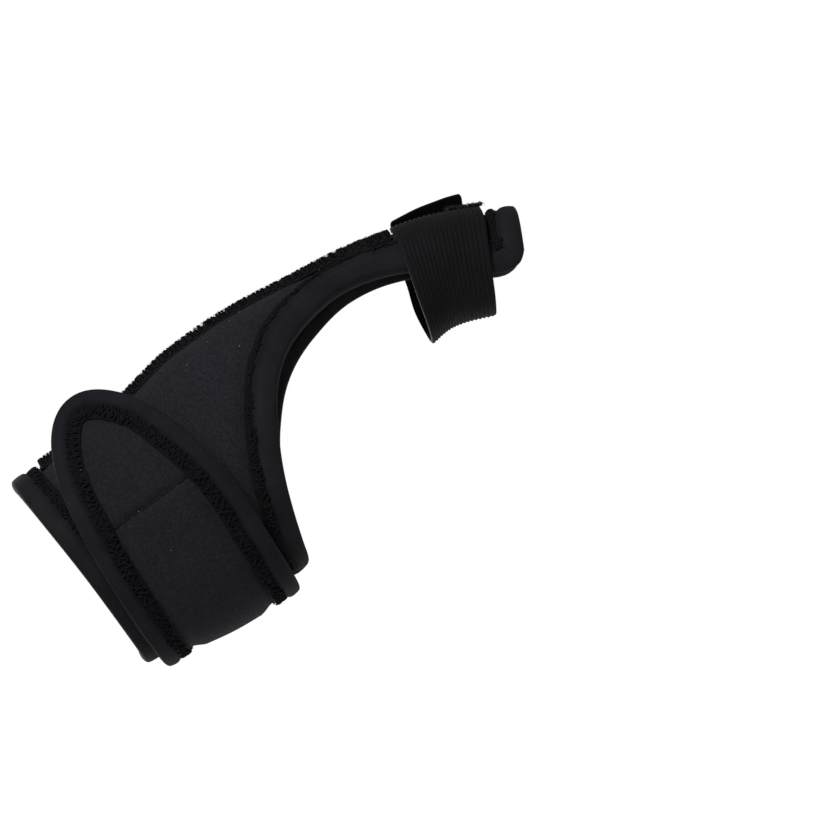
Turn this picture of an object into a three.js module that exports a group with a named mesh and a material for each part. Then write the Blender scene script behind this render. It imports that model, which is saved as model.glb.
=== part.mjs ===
// A thumb spica splint for the right hand, in its worn shape: a neoprene wrap that closes round the wrist and runs up
// the thumb side of the hand, a rounded wrist strap, an elastic thumb band with its loose hook tab, and bound edges.
// Millimetres. +X runs along the forearm towards the fingers, +Z towards the thumb side, -Y out of the back of the hand.
// The origin is the middle of the wrist hollow, where the wrist holds the splint.
import * as THREE from "three";

// Driving sizes.
const WRIST_LENGTH = 173.5; // the wrap along the arm, from its forearm edge to the middle of its thumb end
const FOREARM_EDGE = -31.5; // where the wrap starts, from the middle of the wrist hollow
const FOREARM_DIP = 5; // how far that edge is drawn in over the back of the wrist
const WRIST_HALF_WIDTH = 34; // the wrist hollow, thumb side to little-finger side
const WRIST_HALF_DEPTH = 22; // the wrist hollow, back to palm
const THUMB_RADIUS = 12; // the thumb hollow
const THUMB_TILT = 29; // degrees that the thumb leans towards the little-finger side
const THUMB_PALMAR_OFFSET = 21; // how far the thumb lies to the palm side of the wrist
const WALL = 3; // neoprene of the wrap
const STRAP_WALL = 2; // neoprene of the wrist strap
const STRAP_WIDTH = 46.5;
const STRAP_LIFT_ANGLE = 48; // where the strap leaves the wrap, from the thumb side round the back of the wrist
const STRAP_ROOT_ANGLE = 250; // where the strap is sewn on, on the palm side
const STRAP_FREE_END = 21.6; // the strap's tip past that place
const STRAP_TAPER = 57; // the length over which the strap narrows to its tip
const BINDING_WIDTH = 8.8;
const BINDING_TAPE = 0.9; // thickness of the folded binding tape
const SEAM_TAPE_WIDTH = 10.6; // tape over the seam along the thumb side
const SEAM_SHIFT = 1.8; // how far that seam lies round to the back of the hand
const SEAM_TAPE = 1;
const BAND_WIDTH = 26; // elastic thumb band
const BAND_WALL = 1.4;
const TAB_WIDTH = 21;
const TAB_SETBACK = 4.3; // how far the tab's right edge lies in from the band's
const TAB_LENGTH = 15.2; // the band's free end, past where it leaves the thumb
const TAB_WALL = 1.6;
const GAP = 0.4; // clearance between neighbouring pieces

// Worked-out sizes.
const THUMB_END = FOREARM_EDGE + WRIST_LENGTH;
const TAPE_TOP = WALL + GAP + BINDING_TAPE;
const STRAP_BOTTOM = TAPE_TOP + GAP + BINDING_TAPE + GAP;
const STRAP_TOP = STRAP_BOTTOM + STRAP_WALL;
const BAND_BOTTOM = TAPE_TOP + GAP;
const BAND_TOP = BAND_BOTTOM + BAND_WALL;
const DEGREE = Math.PI / 180;

// The limb that the splint holds, as sections across it. Along is a share of the wrap's length. Depth and width are
// shares of the wrist's half sizes, with the thumb's radius as the size at the thumb end. Side and palm shift a
// section's middle, as shares of the wrist's half width and of the thumb's palmar offset. Lean is a share of the tilt.
const SECTIONS = [
  { along: 0.0, width: 0.95, depth: 0.95, side: -0.035, palm: 0.0, lean: 0 },
  { along: 0.098, width: 0.945, depth: 0.96, side: -0.055, palm: 0.0, lean: 0 },
  { along: 0.185, width: 0.995, depth: 0.98, side: -0.084, palm: 0.0, lean: 0 },
  { along: 0.264, width: 1.03, depth: 1.0, side: -0.08, palm: 0.03, lean: 0 },
  { along: 0.352, width: 1.07, depth: 1.01, side: -0.045, palm: 0.08, lean: 0 },
  { along: 0.44, width: 1.025, depth: 1.01, side: 0.012, palm: 0.15, lean: 0 },
  { along: 0.523, width: 0.885, depth: 0.98, side: 0.124, palm: 0.26, lean: 0 },
  { along: 0.606, width: 0.722, depth: 0.89, side: 0.219, palm: 0.42, lean: 0.1 },
  { along: 0.694, width: 0.572, depth: 0.76, side: 0.309, palm: 0.62, lean: 0.32 },
  { along: 0.772, width: 0.46, depth: 0.65, side: 0.336, palm: 0.79, lean: 0.62 },
  { along: 0.865, width: 0.38, depth: 0.575, side: 0.28, palm: 0.92, lean: 0.88 },
  { along: 1.0, width: 0.353, depth: 0.545, side: -0.03, palm: 1.0, lean: 1 },
];
const SECTION_SQUARENESS = 0.02;

// The cut of the wrap: at each share of its length, how far it reaches round the limb, in degrees from the thumb side,
// over the back of the hand and over the palm.
const CUT = [
  { along: 0.0, back: 184, palm: -124 },
  { along: 0.018, back: 197, palm: -136 },
  { along: 0.063, back: 206, palm: -145 },
  { along: 0.167, back: 208, palm: -147 },
  { along: 0.27, back: 205, palm: -145 },
  { along: 0.323, back: 196, palm: -137 },
  { along: 0.345, back: 176, palm: -128 },
  { along: 0.364, back: 145, palm: -119 },
  { along: 0.397, back: 118, palm: -107 },
  { along: 0.443, back: 95, palm: -91 },
  { along: 0.505, back: 74, palm: -77 },
  { along: 0.59, back: 59, palm: -66 },
  { along: 0.684, back: 54, palm: -61 },
  { along: 0.782, back: 66, palm: -70 },
  { along: 0.893, back: 96, palm: -96 },
  { along: 0.96, back: 106, palm: -106 },
  { along: 0.99, back: 100, palm: -100 },
  { along: 1.0, back: 86, palm: -86 },
];

// The wrist strap's cut: at each angle round the wrist, the shift of its middle along the arm, as a share of its width.
const STRAP_COURSE = [
  { angle: -30, shift: -0.02 },
  { angle: 15, shift: 0.002 },
  { angle: 50, shift: 0.04 },
  { angle: 75, shift: 0.058 },
  { angle: 100, shift: 0.052 },
  { angle: 140, shift: 0.008 },
  { angle: 180, shift: -0.032 },
  { angle: 250, shift: -0.042 },
];

// A smooth curve through a table's rows: the value of one column at x, with x in the key column.
function column(table, key, name, x) {
  let i = 0;
  while (i < table.length - 2 && x > table[i + 1][key]) i++;
  const slope = (j) => {
    const before = table[Math.max(j - 1, 0)];
    const after = table[Math.min(j + 1, table.length - 1)];
    return (after[name] - before[name]) / (after[key] - before[key]);
  };
  const [a, b] = [table[i], table[i + 1]];
  const span = b[key] - a[key];
  const t = (x - a[key]) / span;
  const bend = t * t * (3 - 2 * t);
  return (
    a[name] * (1 - bend) +
    b[name] * bend +
    slope(i) * span * t * (1 - t) * (1 - t) -
    slope(i + 1) * span * t * t * (1 - t)
  );
}

// The limb's skin at x along the arm and angle degrees round from the thumb side, over the back of the hand.
function skin(x, angle) {
  const along = (x - FOREARM_EDGE) / WRIST_LENGTH;
  const at = (name) => column(SECTIONS, "along", name, along);
  const lean = at("lean") * THUMB_TILT * DEGREE;
  const a = angle * DEGREE;
  const round = 1 - SECTION_SQUARENESS * Math.cos(4 * a);
  const thumb = Math.min(Math.max((along - 0.62) / 0.38, 0), 1);
  const width = at("width") * THREE.MathUtils.lerp(WRIST_HALF_WIDTH, THUMB_RADIUS / 0.353, thumb);
  const depth = at("depth") * THREE.MathUtils.lerp(WRIST_HALF_DEPTH, THUMB_RADIUS / 0.545, thumb);
  const up = width * round * Math.cos(a);
  return new THREE.Vector3(
    x + up * Math.sin(lean),
    at("palm") * THUMB_PALMAR_OFFSET - depth * round * Math.sin(a),
    at("side") * WRIST_HALF_WIDTH + up * Math.cos(lean),
  );
}

// The skin's directions at a place: along the arm and round the limb, for one millimetre and one degree, and outwards.
function directions(x, angle) {
  const step = 0.5;
  const along = skin(x + step, angle).sub(skin(x - step, angle)).divideScalar(2 * step);
  const round = skin(x, angle + step).sub(skin(x, angle - step)).divideScalar(2 * step);
  const out = new THREE.Vector3().crossVectors(round, along).normalize();
  return { along, round, out };
}

// A place at a height over the skin.
function over(x, angle, height) {
  return skin(x, angle).addScaledVector(directions(x, angle).out, height);
}

// The strap's surface: over the limb as far as its lifting angle, then straight on.
function strapPlace(x, angle, height) {
  const held = Math.max(angle, STRAP_LIFT_ANGLE);
  const place = over(x, held, height);
  if (angle >= STRAP_LIFT_ANGLE) return place;
  const { round } = directions(x, held);
  return place.addScaledVector(round.normalize(), (angle - STRAP_LIFT_ANGLE) * DEGREE * WRIST_HALF_WIDTH);
}

// A closed solid through rings of points, left open at its two ends, or joined end to end when looped.
function loft(rings, looped = false) {
  const n = rings[0].length;
  const points = rings.flat();
  const faces = [];
  const quad = (a, b, c, d) => {
    if (points[a].distanceTo(points[c]) <= points[b].distanceTo(points[d])) faces.push(a, b, c, a, c, d);
    else faces.push(a, b, d, b, c, d);
  };
  const last = looped ? rings.length : rings.length - 1;
  for (let i = 0; i < last; i++) {
    const next = ((i + 1) % rings.length) * n;
    for (let j = 0; j < n; j++) {
      const k = (j + 1) % n;
      quad(i * n + j, i * n + k, next + k, next + j);
    }
  }
  return { points, faces, n };
}

function toGeometry({ points, faces }) {
  let volume = 0;
  for (let i = 0; i < faces.length; i += 3) {
    const [a, b, c] = [points[faces[i]], points[faces[i + 1]], points[faces[i + 2]]];
    volume += a.dot(new THREE.Vector3().crossVectors(b, c));
  }
  if (volume < 0) faces.reverse();
  const geometry = new THREE.BufferGeometry().setFromPoints(points);
  geometry.setIndex(faces);
  geometry.computeVertexNormals();
  return geometry;
}

// A sheet of cloth with a thickness, from rows of places: each row has lower and upper points, edge to edge.
function sheet(rows) {
  const rings = rows.map((row) => [...row.map((p) => p.lower), ...row.map((p) => p.upper).reverse()]);
  const solid = loft(rings);
  const width = rows[0].length;
  const n = solid.n;
  const cap = (base, flip) => {
    for (let j = 0; j < width - 1; j++) {
      const [a, b, c, d] = [base + j, base + j + 1, base + n - 2 - j, base + n - 1 - j];
      if (flip) solid.faces.push(a, c, b, a, d, c);
      else solid.faces.push(a, b, c, a, c, d);
    }
  };
  cap(0, true);
  cap((rows.length - 1) * n, false);
  return toGeometry(solid);
}

// Shares of a path at which its places lie evenly apart in space: count + 1 of them, from 0 to 1.
function evenShares(placeAt, count) {
  const steps = 600;
  const reach = [0];
  let before = placeAt(0);
  for (let i = 1; i <= steps; i++) {
    const place = placeAt(i / steps);
    reach.push(reach[i - 1] + place.distanceTo(before));
    before = place;
  }
  const shares = [];
  let i = 0;
  for (let k = 0; k <= count; k++) {
    const want = (reach[steps] * k) / count;
    while (i < steps - 1 && reach[i + 1] < want) i++;
    shares.push(Math.min((i + (want - reach[i]) / (reach[i + 1] - reach[i])) / steps, 1));
  }
  return shares;
}

// The place a distance in from a path's edge, at right angles to the path on the surface.
function inwards(edge, i, place, distance) {
  const [before, after] = [edge[(i + edge.length - 1) % edge.length], edge[(i + 1) % edge.length]];
  const run = place(after.x, after.angle, 0).sub(place(before.x, before.angle, 0)).normalize();
  const step = 0.5;
  let { x, angle } = edge[i];
  const strides = 4;
  for (let k = 0; k < strides; k++) {
    const along = place(x + step, angle, 0).sub(place(x - step, angle, 0)).divideScalar(2 * step);
    const round = place(x, angle + step, 0).sub(place(x, angle - step, 0)).divideScalar(2 * step);
    const out = new THREE.Vector3().crossVectors(round, along).normalize();
    const inward = new THREE.Vector3().crossVectors(out, run).multiplyScalar(distance / strides);
    const [ee, gg, fg] = [along.dot(along), round.dot(round), along.dot(round)];
    const [ea, ga] = [along.dot(inward), round.dot(inward)];
    const det = ee * gg - fg * fg;
    x += (ea * gg - ga * fg) / det;
    angle += (ga * ee - ea * fg) / det;
  }
  return { x, angle };
}

// Binding tape folded over a closed edge: a channel round the wall between the heights bottom and top, whose two legs
// follow the surface in a number of bends.
function binding(edge, place, bottom, top, bends) {
  const lip = GAP + BINDING_TAPE;
  const shares = [];
  for (let i = 0; i <= bends; i++) shares.push(i / bends);
  const leg = (height, inward) => (inward ? shares : [...shares].reverse()).map((share) => ({ share, height }));
  const profile = [
    ...leg(top + lip, false),
    { share: null, height: (top + bottom) / 2 },
    ...leg(bottom - lip, true),
    ...leg(bottom - GAP, false),
    ...leg(top + GAP, true),
  ];
  const rings = edge.map((_, i) => {
    const spots = shares.map((share) => inwards(edge, i, place, THREE.MathUtils.lerp(-GAP, BINDING_WIDTH, share)));
    const fold = inwards(edge, i, place, -lip);
    return profile.map(({ share, height }) => {
      const spot = share === null ? fold : spots[shares.indexOf(share)];
      return place(spot.x, spot.angle, height);
    });
  });
  return toGeometry(loft(rings, true));
}

const MATERIALS = {
  neoprene: new THREE.MeshStandardMaterial({ color: 0x232227, roughness: 0.92, metalness: 0 }),
  binding: new THREE.MeshStandardMaterial({ color: 0x1b1a1e, roughness: 0.85, metalness: 0 }),
  elastic: new THREE.MeshStandardMaterial({ color: 0x1d1c20, roughness: 0.8, metalness: 0 }),
  hook: new THREE.MeshStandardMaterial({ color: 0x0b0b0d, roughness: 0.6, metalness: 0 }),
};

const splint = new THREE.Group();
function add(name, geometry, material) {
  const mesh = new THREE.Mesh(geometry, MATERIALS[material]);
  mesh.name = name;
  splint.add(mesh);
}

const at = (share) => FOREARM_EDGE + share * WRIST_LENGTH;

// The wrap's outline as rows: row 0 is its forearm edge and row 1 its thumb end.
function cutRow(share) {
  const place = share * (CUT.length - 1);
  const i = Math.min(Math.floor(place), CUT.length - 2);
  const t = place - i;
  const smooth = (name) => {
    const value = (j) => CUT[Math.min(Math.max(j, 0), CUT.length - 1)][name];
    const [p, q, r, s] = [value(i - 1), value(i), value(i + 1), value(i + 2)];
    return 0.5 * (2 * q + (r - p) * t + (2 * p - 5 * q + 4 * r - s) * t * t + (3 * q - p - 3 * r + s) * t * t * t);
  };
  return { x: at(smooth("along")), back: smooth("back"), palm: smooth("palm") };
}

const WING_END = Math.max(...CUT.map(({ back }) => back));

// How far the cloth near the forearm edge is drawn in at a place over the back of the wrist.
function dip(x, angle) {
  const fade = Math.max(1 - (x - FOREARM_EDGE) / (0.25 * WRIST_LENGTH), 0);
  return angle > 0 && angle < WING_END ? FOREARM_DIP * Math.sin((Math.PI * angle) / WING_END) ** 1.2 * fade * fade : 0;
}

const WRAP_ROWS = 36;
const WRAP_COLUMNS = 22;

function wrapGrid() {
  const edge = (share) => {
    const row = cutRow(share);
    return over(row.x, row.back, 0);
  };
  return evenShares(edge, WRAP_ROWS).map((share) => {
    const { x, back, palm } = cutRow(share);
    const row = [];
    for (let j = 0; j <= WRAP_COLUMNS; j++) {
      const angle = THREE.MathUtils.lerp(palm, back, j / WRAP_COLUMNS);
      row.push({ x: x + dip(x, angle), angle });
    }
    return row;
  });
}

// The edge all round a grid of places, clockwise as seen from outside with the fingers to the right.
function edgeOf(grid) {
  const [first, last] = [grid[0], grid[grid.length - 1]];
  return [
    ...grid.map((row) => row[row.length - 1]),
    ...last.slice(1, -1).reverse(),
    ...grid.map((row) => row[0]).reverse(),
    ...first.slice(1, -1),
  ];
}

// A sheet over a grid of places, between two heights.
function cloth(grid, place, bottom, top) {
  return sheet(
    grid.map((row) =>
      row.map(({ x, angle }) => ({ lower: place(x, angle, bottom), upper: place(x, angle, top) })),
    ),
  );
}

// The strap's middle and half width at an angle round the wrist; its two ends are rounded.
const STRAP_TIP_ANGLE = STRAP_LIFT_ANGLE - STRAP_FREE_END / WRIST_HALF_WIDTH / DEGREE;
const ROOT_ROUND = 24; // degrees of the strap taken by its rounded root

// The length of strap from its tip to an angle round the wrist.
function tipDistance(angle) {
  return (angle - STRAP_TIP_ANGLE) * DEGREE * WRIST_HALF_WIDTH;
}

function strapRow(angle) {
  const middle = column(STRAP_COURSE, "angle", "shift", angle) * STRAP_WIDTH;
  const fromTip = Math.min(tipDistance(angle) / STRAP_TAPER, 1);
  const fromRoot = Math.min((STRAP_ROOT_ANGLE - angle) / ROOT_ROUND, 1);
  const tip = Math.sqrt(Math.max(1 - (1 - fromTip) ** 1.9, 0));
  const root = 1 - 0.5 * (1 - fromRoot) ** 2.2;
  return { middle, half: (STRAP_WIDTH / 2) * tip * root };
}

const STRAP_ROWS = 30;
const STRAP_COLUMNS = 6;

function strapGrid() {
  const angleAt = (share) => THREE.MathUtils.lerp(STRAP_ROOT_ANGLE, STRAP_TIP_ANGLE + 0.2, share);
  const edge = (share) => {
    const { middle, half } = strapRow(angleAt(share));
    return strapPlace(middle + half, angleAt(share), STRAP_BOTTOM);
  };
  return evenShares(edge, STRAP_ROWS).map((share) => {
    const angle = angleAt(share);
    const { middle, half } = strapRow(angle);
    const row = [];
    for (let j = 0; j <= STRAP_COLUMNS; j++) row.push({ x: middle + half * ((2 * j) / STRAP_COLUMNS - 1), angle });
    return row;
  });
}

// The hook tape under the strap's end.
const HOOK_HALF = 0.14 * STRAP_WIDTH;
const HOOK_MIDDLE = 0.03 * STRAP_WIDTH;
const HOOK_FROM = STRAP_LIFT_ANGLE + 3;
const HOOK_TO = STRAP_LIFT_ANGLE + 44;

// A flat patch of tape lying on a surface, between two places along the arm and two angles.
function patch(x0, x1, angle0, angle1, bottom, top, place, columns, rows) {
  const grid = [];
  for (let i = 0; i <= rows; i++) {
    const x = THREE.MathUtils.lerp(x0, x1, i / rows);
    const row = [];
    for (let j = 0; j <= columns; j++) {
      const angle = THREE.MathUtils.lerp(angle0, angle1, j / columns);
      row.push({ lower: place(x, angle, bottom), upper: place(x, angle, top) });
    }
    grid.push(row);
  }
  return sheet(grid);
}

// The seam tape along the thumb side, between the forearm binding and the thumb end's binding.
function seamTape() {
  const rows = [];
  const steps = 20;
  const [from, to] = [FOREARM_EDGE + BINDING_WIDTH + 5 * GAP, THUMB_END - BINDING_WIDTH - BAND_WIDTH - 4 * GAP];
  for (let i = 0; i <= steps; i++) {
    const x = THREE.MathUtils.lerp(from, to, i / steps);
    const degreeLength = directions(x, 0).round.length();
    const row = [];
    for (let j = 0; j <= 4; j++) {
      const angle = (SEAM_SHIFT + SEAM_TAPE_WIDTH * (j / 4 - 0.5)) / degreeLength;
      row.push({ lower: over(x, angle, WALL + GAP), upper: over(x, angle, WALL + GAP + SEAM_TAPE) });
    }
    rows.push(row);
  }
  return sheet(rows);
}

// The elastic band: from the back of the seam, round the back, web and palm sides of the thumb, to where its tab lifts.
const BAND_START = -12; // degrees, on the thumb side
const BAND_END = 302;
const BAND_RIGHT = THUMB_END - BINDING_WIDTH - GAP;

function bandRows(from, to, steps, bottom, top, place, left = BAND_RIGHT - BAND_WIDTH, right = BAND_RIGHT) {
  const rows = [];
  for (let i = 0; i <= steps; i++) {
    const angle = THREE.MathUtils.lerp(from, to, i / steps);
    const row = [];
    for (let j = 0; j <= 4; j++) {
      const x = THREE.MathUtils.lerp(left, right, j / 4);
      row.push({ lower: place(x, angle, bottom), upper: place(x, angle, top) });
    }
    rows.push(row);
  }
  return rows;
}

// The tab goes straight on from the band's end, lifting more towards the thumb's tip.
const TAB_RIGHT = BAND_RIGHT - TAB_SETBACK;
const TAB_LEFT = TAB_RIGHT - TAB_WIDTH;

function tabPlace(x, share, height) {
  const { round, out } = directions(x, BAND_END);
  const towardsTip = (x - TAB_LEFT) / TAB_WIDTH;
  const reach = TAB_LENGTH * share * (0.86 + 0.14 * towardsTip);
  const lift = 1.5 * share * share * towardsTip;
  return over(x, BAND_END, height).addScaledVector(round.normalize(), reach + 2 * GAP).addScaledVector(out, lift);
}

const wrapPlaces = wrapGrid();
const strapPlaces = strapGrid();
add("wrap", cloth(wrapPlaces, over, 0, WALL), "neoprene");
add("wrap_binding", binding(edgeOf(wrapPlaces), over, 0, WALL, 3), "binding");
add("wrist_strap", cloth(strapPlaces, strapPlace, STRAP_BOTTOM, STRAP_TOP), "neoprene");
add("strap_binding", binding(edgeOf(strapPlaces), strapPlace, STRAP_BOTTOM, STRAP_TOP, 2), "binding");
add("seam_tape", seamTape(), "binding");
add(
  "hook_patch",
  patch(HOOK_MIDDLE - HOOK_HALF, HOOK_MIDDLE + HOOK_HALF, HOOK_FROM, HOOK_TO, WALL + GAP, STRAP_BOTTOM - GAP, over, 8, 3),
  "hook",
);
add("thumb_band", sheet(bandRows(BAND_START, BAND_END, 36, BAND_BOTTOM, BAND_TOP, over)), "elastic");
add("thumb_tab", sheet(bandRows(0, 1, 4, BAND_BOTTOM, BAND_BOTTOM + TAB_WALL, tabPlace, TAB_LEFT, TAB_RIGHT)), "hook");

export default splint;
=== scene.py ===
"""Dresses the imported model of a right-hand thumb spica splint in cloth, tape, elastic and stitching."""

import logging
import math
from dataclasses import dataclass, field
from enum import Enum

import bpy
import numpy as np
from mathutils import Matrix, Vector
from mathutils.kdtree import KDTree


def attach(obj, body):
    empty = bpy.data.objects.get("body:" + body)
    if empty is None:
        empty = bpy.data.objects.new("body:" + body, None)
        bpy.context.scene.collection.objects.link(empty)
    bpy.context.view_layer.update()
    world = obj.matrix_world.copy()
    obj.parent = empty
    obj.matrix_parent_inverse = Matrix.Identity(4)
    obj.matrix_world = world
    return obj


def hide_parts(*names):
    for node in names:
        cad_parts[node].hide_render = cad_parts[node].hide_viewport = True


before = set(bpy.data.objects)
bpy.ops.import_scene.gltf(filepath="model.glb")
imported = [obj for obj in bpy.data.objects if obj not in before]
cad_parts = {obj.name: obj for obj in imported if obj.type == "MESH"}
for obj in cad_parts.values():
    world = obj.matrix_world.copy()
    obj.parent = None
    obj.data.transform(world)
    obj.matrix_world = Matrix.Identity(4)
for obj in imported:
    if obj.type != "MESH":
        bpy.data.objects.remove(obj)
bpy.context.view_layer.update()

log = logging.getLogger("splint")
logging.basicConfig(level=logging.INFO, format="%(message)s")

MM = 0.001
DEGREE = math.pi / 180

Piece = bpy.types.Object
Material = bpy.types.Material
Node = bpy.types.Node
Socket = bpy.types.NodeSocket
Value = Socket | float | tuple
Colour = tuple[float, float, float, float]


class Fold(Enum):
    """The leg of a folded binding tape that a row of stitches lies on."""

    OUTER = 1
    INNER = -1


def column(table: np.ndarray, number: int, x: np.ndarray) -> np.ndarray:
    """Reads a smooth curve through one column of a table.

    Args:
        table: Rows of numbers, with the key in column 0, rising.
        number: The column to read.
        x: Keys to read at.

    Returns:
        The column's value at each key.
    """
    keys, values = table[:, 0], table[:, number]
    slopes = np.empty(len(keys))
    slopes[1:-1] = (values[2:] - values[:-2]) / (keys[2:] - keys[:-2])
    slopes[0] = (values[1] - values[0]) / (keys[1] - keys[0])
    slopes[-1] = (values[-1] - values[-2]) / (keys[-1] - keys[-2])
    i = np.clip(np.searchsorted(keys, x, side="right") - 1, 0, len(keys) - 2)
    span = keys[i + 1] - keys[i]
    t = (x - keys[i]) / span
    bend = t * t * (3 - 2 * t)
    return (
        values[i] * (1 - bend)
        + values[i + 1] * bend
        + slopes[i] * span * t * (1 - t) ** 2
        - slopes[i + 1] * span * t * t * (1 - t)
    )


def unit(v: np.ndarray) -> np.ndarray:
    """Scales the vectors v, in the last axis, to one unit of length."""
    return v / np.maximum(np.linalg.norm(v, axis=-1, keepdims=True), 1e-12)


@dataclass(frozen=True)
class Limb:
    """The limb inside the splint: a skin of sections across the arm, in millimetres.

    A place on it is x along the arm and an angle in degrees from the thumb side over the back of the hand.
    """

    length: float = 173.5
    start: float = -31.5
    wrist_half_width: float = 34
    wrist_half_depth: float = 22
    thumb_radius: float = 12
    thumb_tilt: float = 29
    thumb_from: float = 0.62
    palm_offset: float = 21
    squareness: float = 0.02
    sections: tuple = (
        # along, width, depth, side, palm, lean
        (0.0, 0.95, 0.95, -0.035, 0.0, 0),
        (0.098, 0.945, 0.96, -0.055, 0.0, 0),
        (0.185, 0.995, 0.98, -0.084, 0.0, 0),
        (0.264, 1.03, 1.0, -0.08, 0.03, 0),
        (0.352, 1.07, 1.01, -0.045, 0.08, 0),
        (0.44, 1.025, 1.01, 0.012, 0.15, 0),
        (0.523, 0.885, 0.98, 0.124, 0.26, 0),
        (0.606, 0.722, 0.89, 0.219, 0.42, 0.1),
        (0.694, 0.572, 0.76, 0.309, 0.62, 0.32),
        (0.772, 0.46, 0.65, 0.336, 0.79, 0.62),
        (0.865, 0.38, 0.575, 0.28, 0.92, 0.88),
        (1.0, 0.353, 0.545, -0.03, 1.0, 1),
    )

    def skin(self, x: np.ndarray, angle: np.ndarray) -> np.ndarray:
        """Gives the skin's points at places along and round the limb.

        Args:
            x: Places along the arm, in millimetres.
            angle: Angles round it, in degrees.

        Returns:
            A point in millimetres for each place.
        """
        x, angle = np.broadcast_arrays(np.asarray(x, float), np.asarray(angle, float))
        table = np.array(self.sections)
        along = (x - self.start) / self.length
        width, depth, side, palm, lean = (column(table, i, along) for i in range(1, 6))
        lean = lean * self.thumb_tilt * DEGREE
        a = angle * DEGREE
        rounded = 1 - self.squareness * np.cos(4 * a)
        thumb = np.clip((along - self.thumb_from) / (1 - self.thumb_from), 0, 1)
        end_width, end_depth = (self.thumb_radius / share for share in self.sections[-1][1:3])
        width = width * (self.wrist_half_width * (1 - thumb) + end_width * thumb)
        depth = depth * (self.wrist_half_depth * (1 - thumb) + end_depth * thumb)
        up = width * rounded * np.cos(a)
        return np.stack(
            [
                x + up * np.sin(lean),
                palm * self.palm_offset - depth * rounded * np.sin(a),
                side * self.wrist_half_width + up * np.cos(lean),
            ],
            axis=-1,
        )

    def directions(self, x: np.ndarray, angle: np.ndarray) -> tuple[np.ndarray, np.ndarray, np.ndarray]:
        """Gives the skin's directions at places.

        Args:
            x: Places along the arm, in millimetres.
            angle: Angles round it, in degrees.

        Returns:
            Steps along the arm and round the limb, and unit directions outwards.
        """
        x, angle = np.asarray(x, float), np.asarray(angle, float)
        step = 0.5
        along = self.skin(x + step, angle) - self.skin(x - step, angle)
        around = self.skin(x, angle + step) - self.skin(x, angle - step)
        return along, around, unit(np.cross(around, along))

    def place(self, x: np.ndarray, angle: np.ndarray, height: np.ndarray) -> np.ndarray:
        """Gives points over the skin.

        Args:
            x: Places along the arm, in millimetres.
            angle: Angles round it, in degrees.
            height: Height over the skin at each place, in millimetres.

        Returns:
            The points, in millimetres.
        """
        out = self.directions(x, angle)[2]
        return self.skin(x, angle) + out * np.asarray(height, float)[..., None]


@dataclass(frozen=True)
class StrapCourse:
    """The wrist strap's surface: over the limb as far as its lifting angle, then straight on to its tip."""

    limb: Limb
    lift: float = 48

    def place(self, x: np.ndarray, angle: np.ndarray, height: np.ndarray) -> np.ndarray:
        """Gives points over the limb's skin along the strap.

        Args:
            x: Places along the arm, in millimetres.
            angle: Angles round it, in degrees, which go on past the lift as lengths of free strap.
            height: Height over the skin at each place, in millimetres.

        Returns:
            The points, in millimetres.
        """
        held = np.maximum(angle, self.lift)
        around = unit(self.limb.directions(x, held)[1])
        free = (np.minimum(angle, self.lift) - self.lift) * DEGREE * self.limb.wrist_half_width
        return self.limb.place(x, held, height) + around * np.asarray(free)[..., None]


Surface = Limb | StrapCourse


def arc_lengths(points: np.ndarray) -> np.ndarray:
    """Gives the running length along a line of points, from 0 at the first."""
    steps = np.linalg.norm(np.diff(points, axis=0), axis=1)
    return np.concatenate([[0], np.cumsum(steps)])


def evenly(path: np.ndarray, surface: Surface, spacing: float) -> np.ndarray:
    """Re-spaces a closed path of places so that its points lie evenly apart in space.

    Args:
        path: Places as rows of x and angle.
        surface: The surface that they lie on.
        spacing: Distance between places, in millimetres.

    Returns:
        The evenly spaced places.
    """
    track = np.vstack([path, path[:1]])
    reach = arc_lengths(surface.place(track[:, 0], track[:, 1], np.zeros(len(track))))
    count = max(int(round(reach[-1] / spacing)), 2)
    want = np.linspace(0, reach[-1], count + 1)[:-1]
    return np.stack([np.interp(want, reach, track[:, i]) for i in (0, 1)], axis=1)


def inwards(edge: np.ndarray, surface: Surface, distance: np.ndarray) -> np.ndarray:
    """Walks from each place of a closed edge a distance to its inner side, on the surface.

    Args:
        edge: Places as rows of x and angle, clockwise as seen from outside.
        surface: The surface that they lie on.
        distance: Millimetres for each place.

    Returns:
        The places reached.
    """
    flat = np.zeros(len(edge))
    points = surface.place(edge[:, 0], edge[:, 1], flat)
    run = unit(np.roll(points, -1, axis=0) - np.roll(points, 1, axis=0))
    x, angle = edge[:, 0].copy(), edge[:, 1].copy()
    step, strides = 0.5, 4
    for _ in range(strides):
        along = surface.place(x + step, angle, flat) - surface.place(x - step, angle, flat)
        around = surface.place(x, angle + step, flat) - surface.place(x, angle - step, flat)
        out = unit(np.cross(around, along))
        inward = np.cross(out, run) * (np.asarray(distance) / strides)[:, None]
        ee, gg, fg = (along**2).sum(1), (around**2).sum(1), (along * around).sum(1)
        ea, ga = (along * inward).sum(1), (around * inward).sum(1)
        det = ee * gg - fg * fg
        x = x + (ea * gg - ga * fg) / det
        angle = angle + (ga * ee - ea * fg) / det
    return np.stack([x, angle], axis=1)


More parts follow.
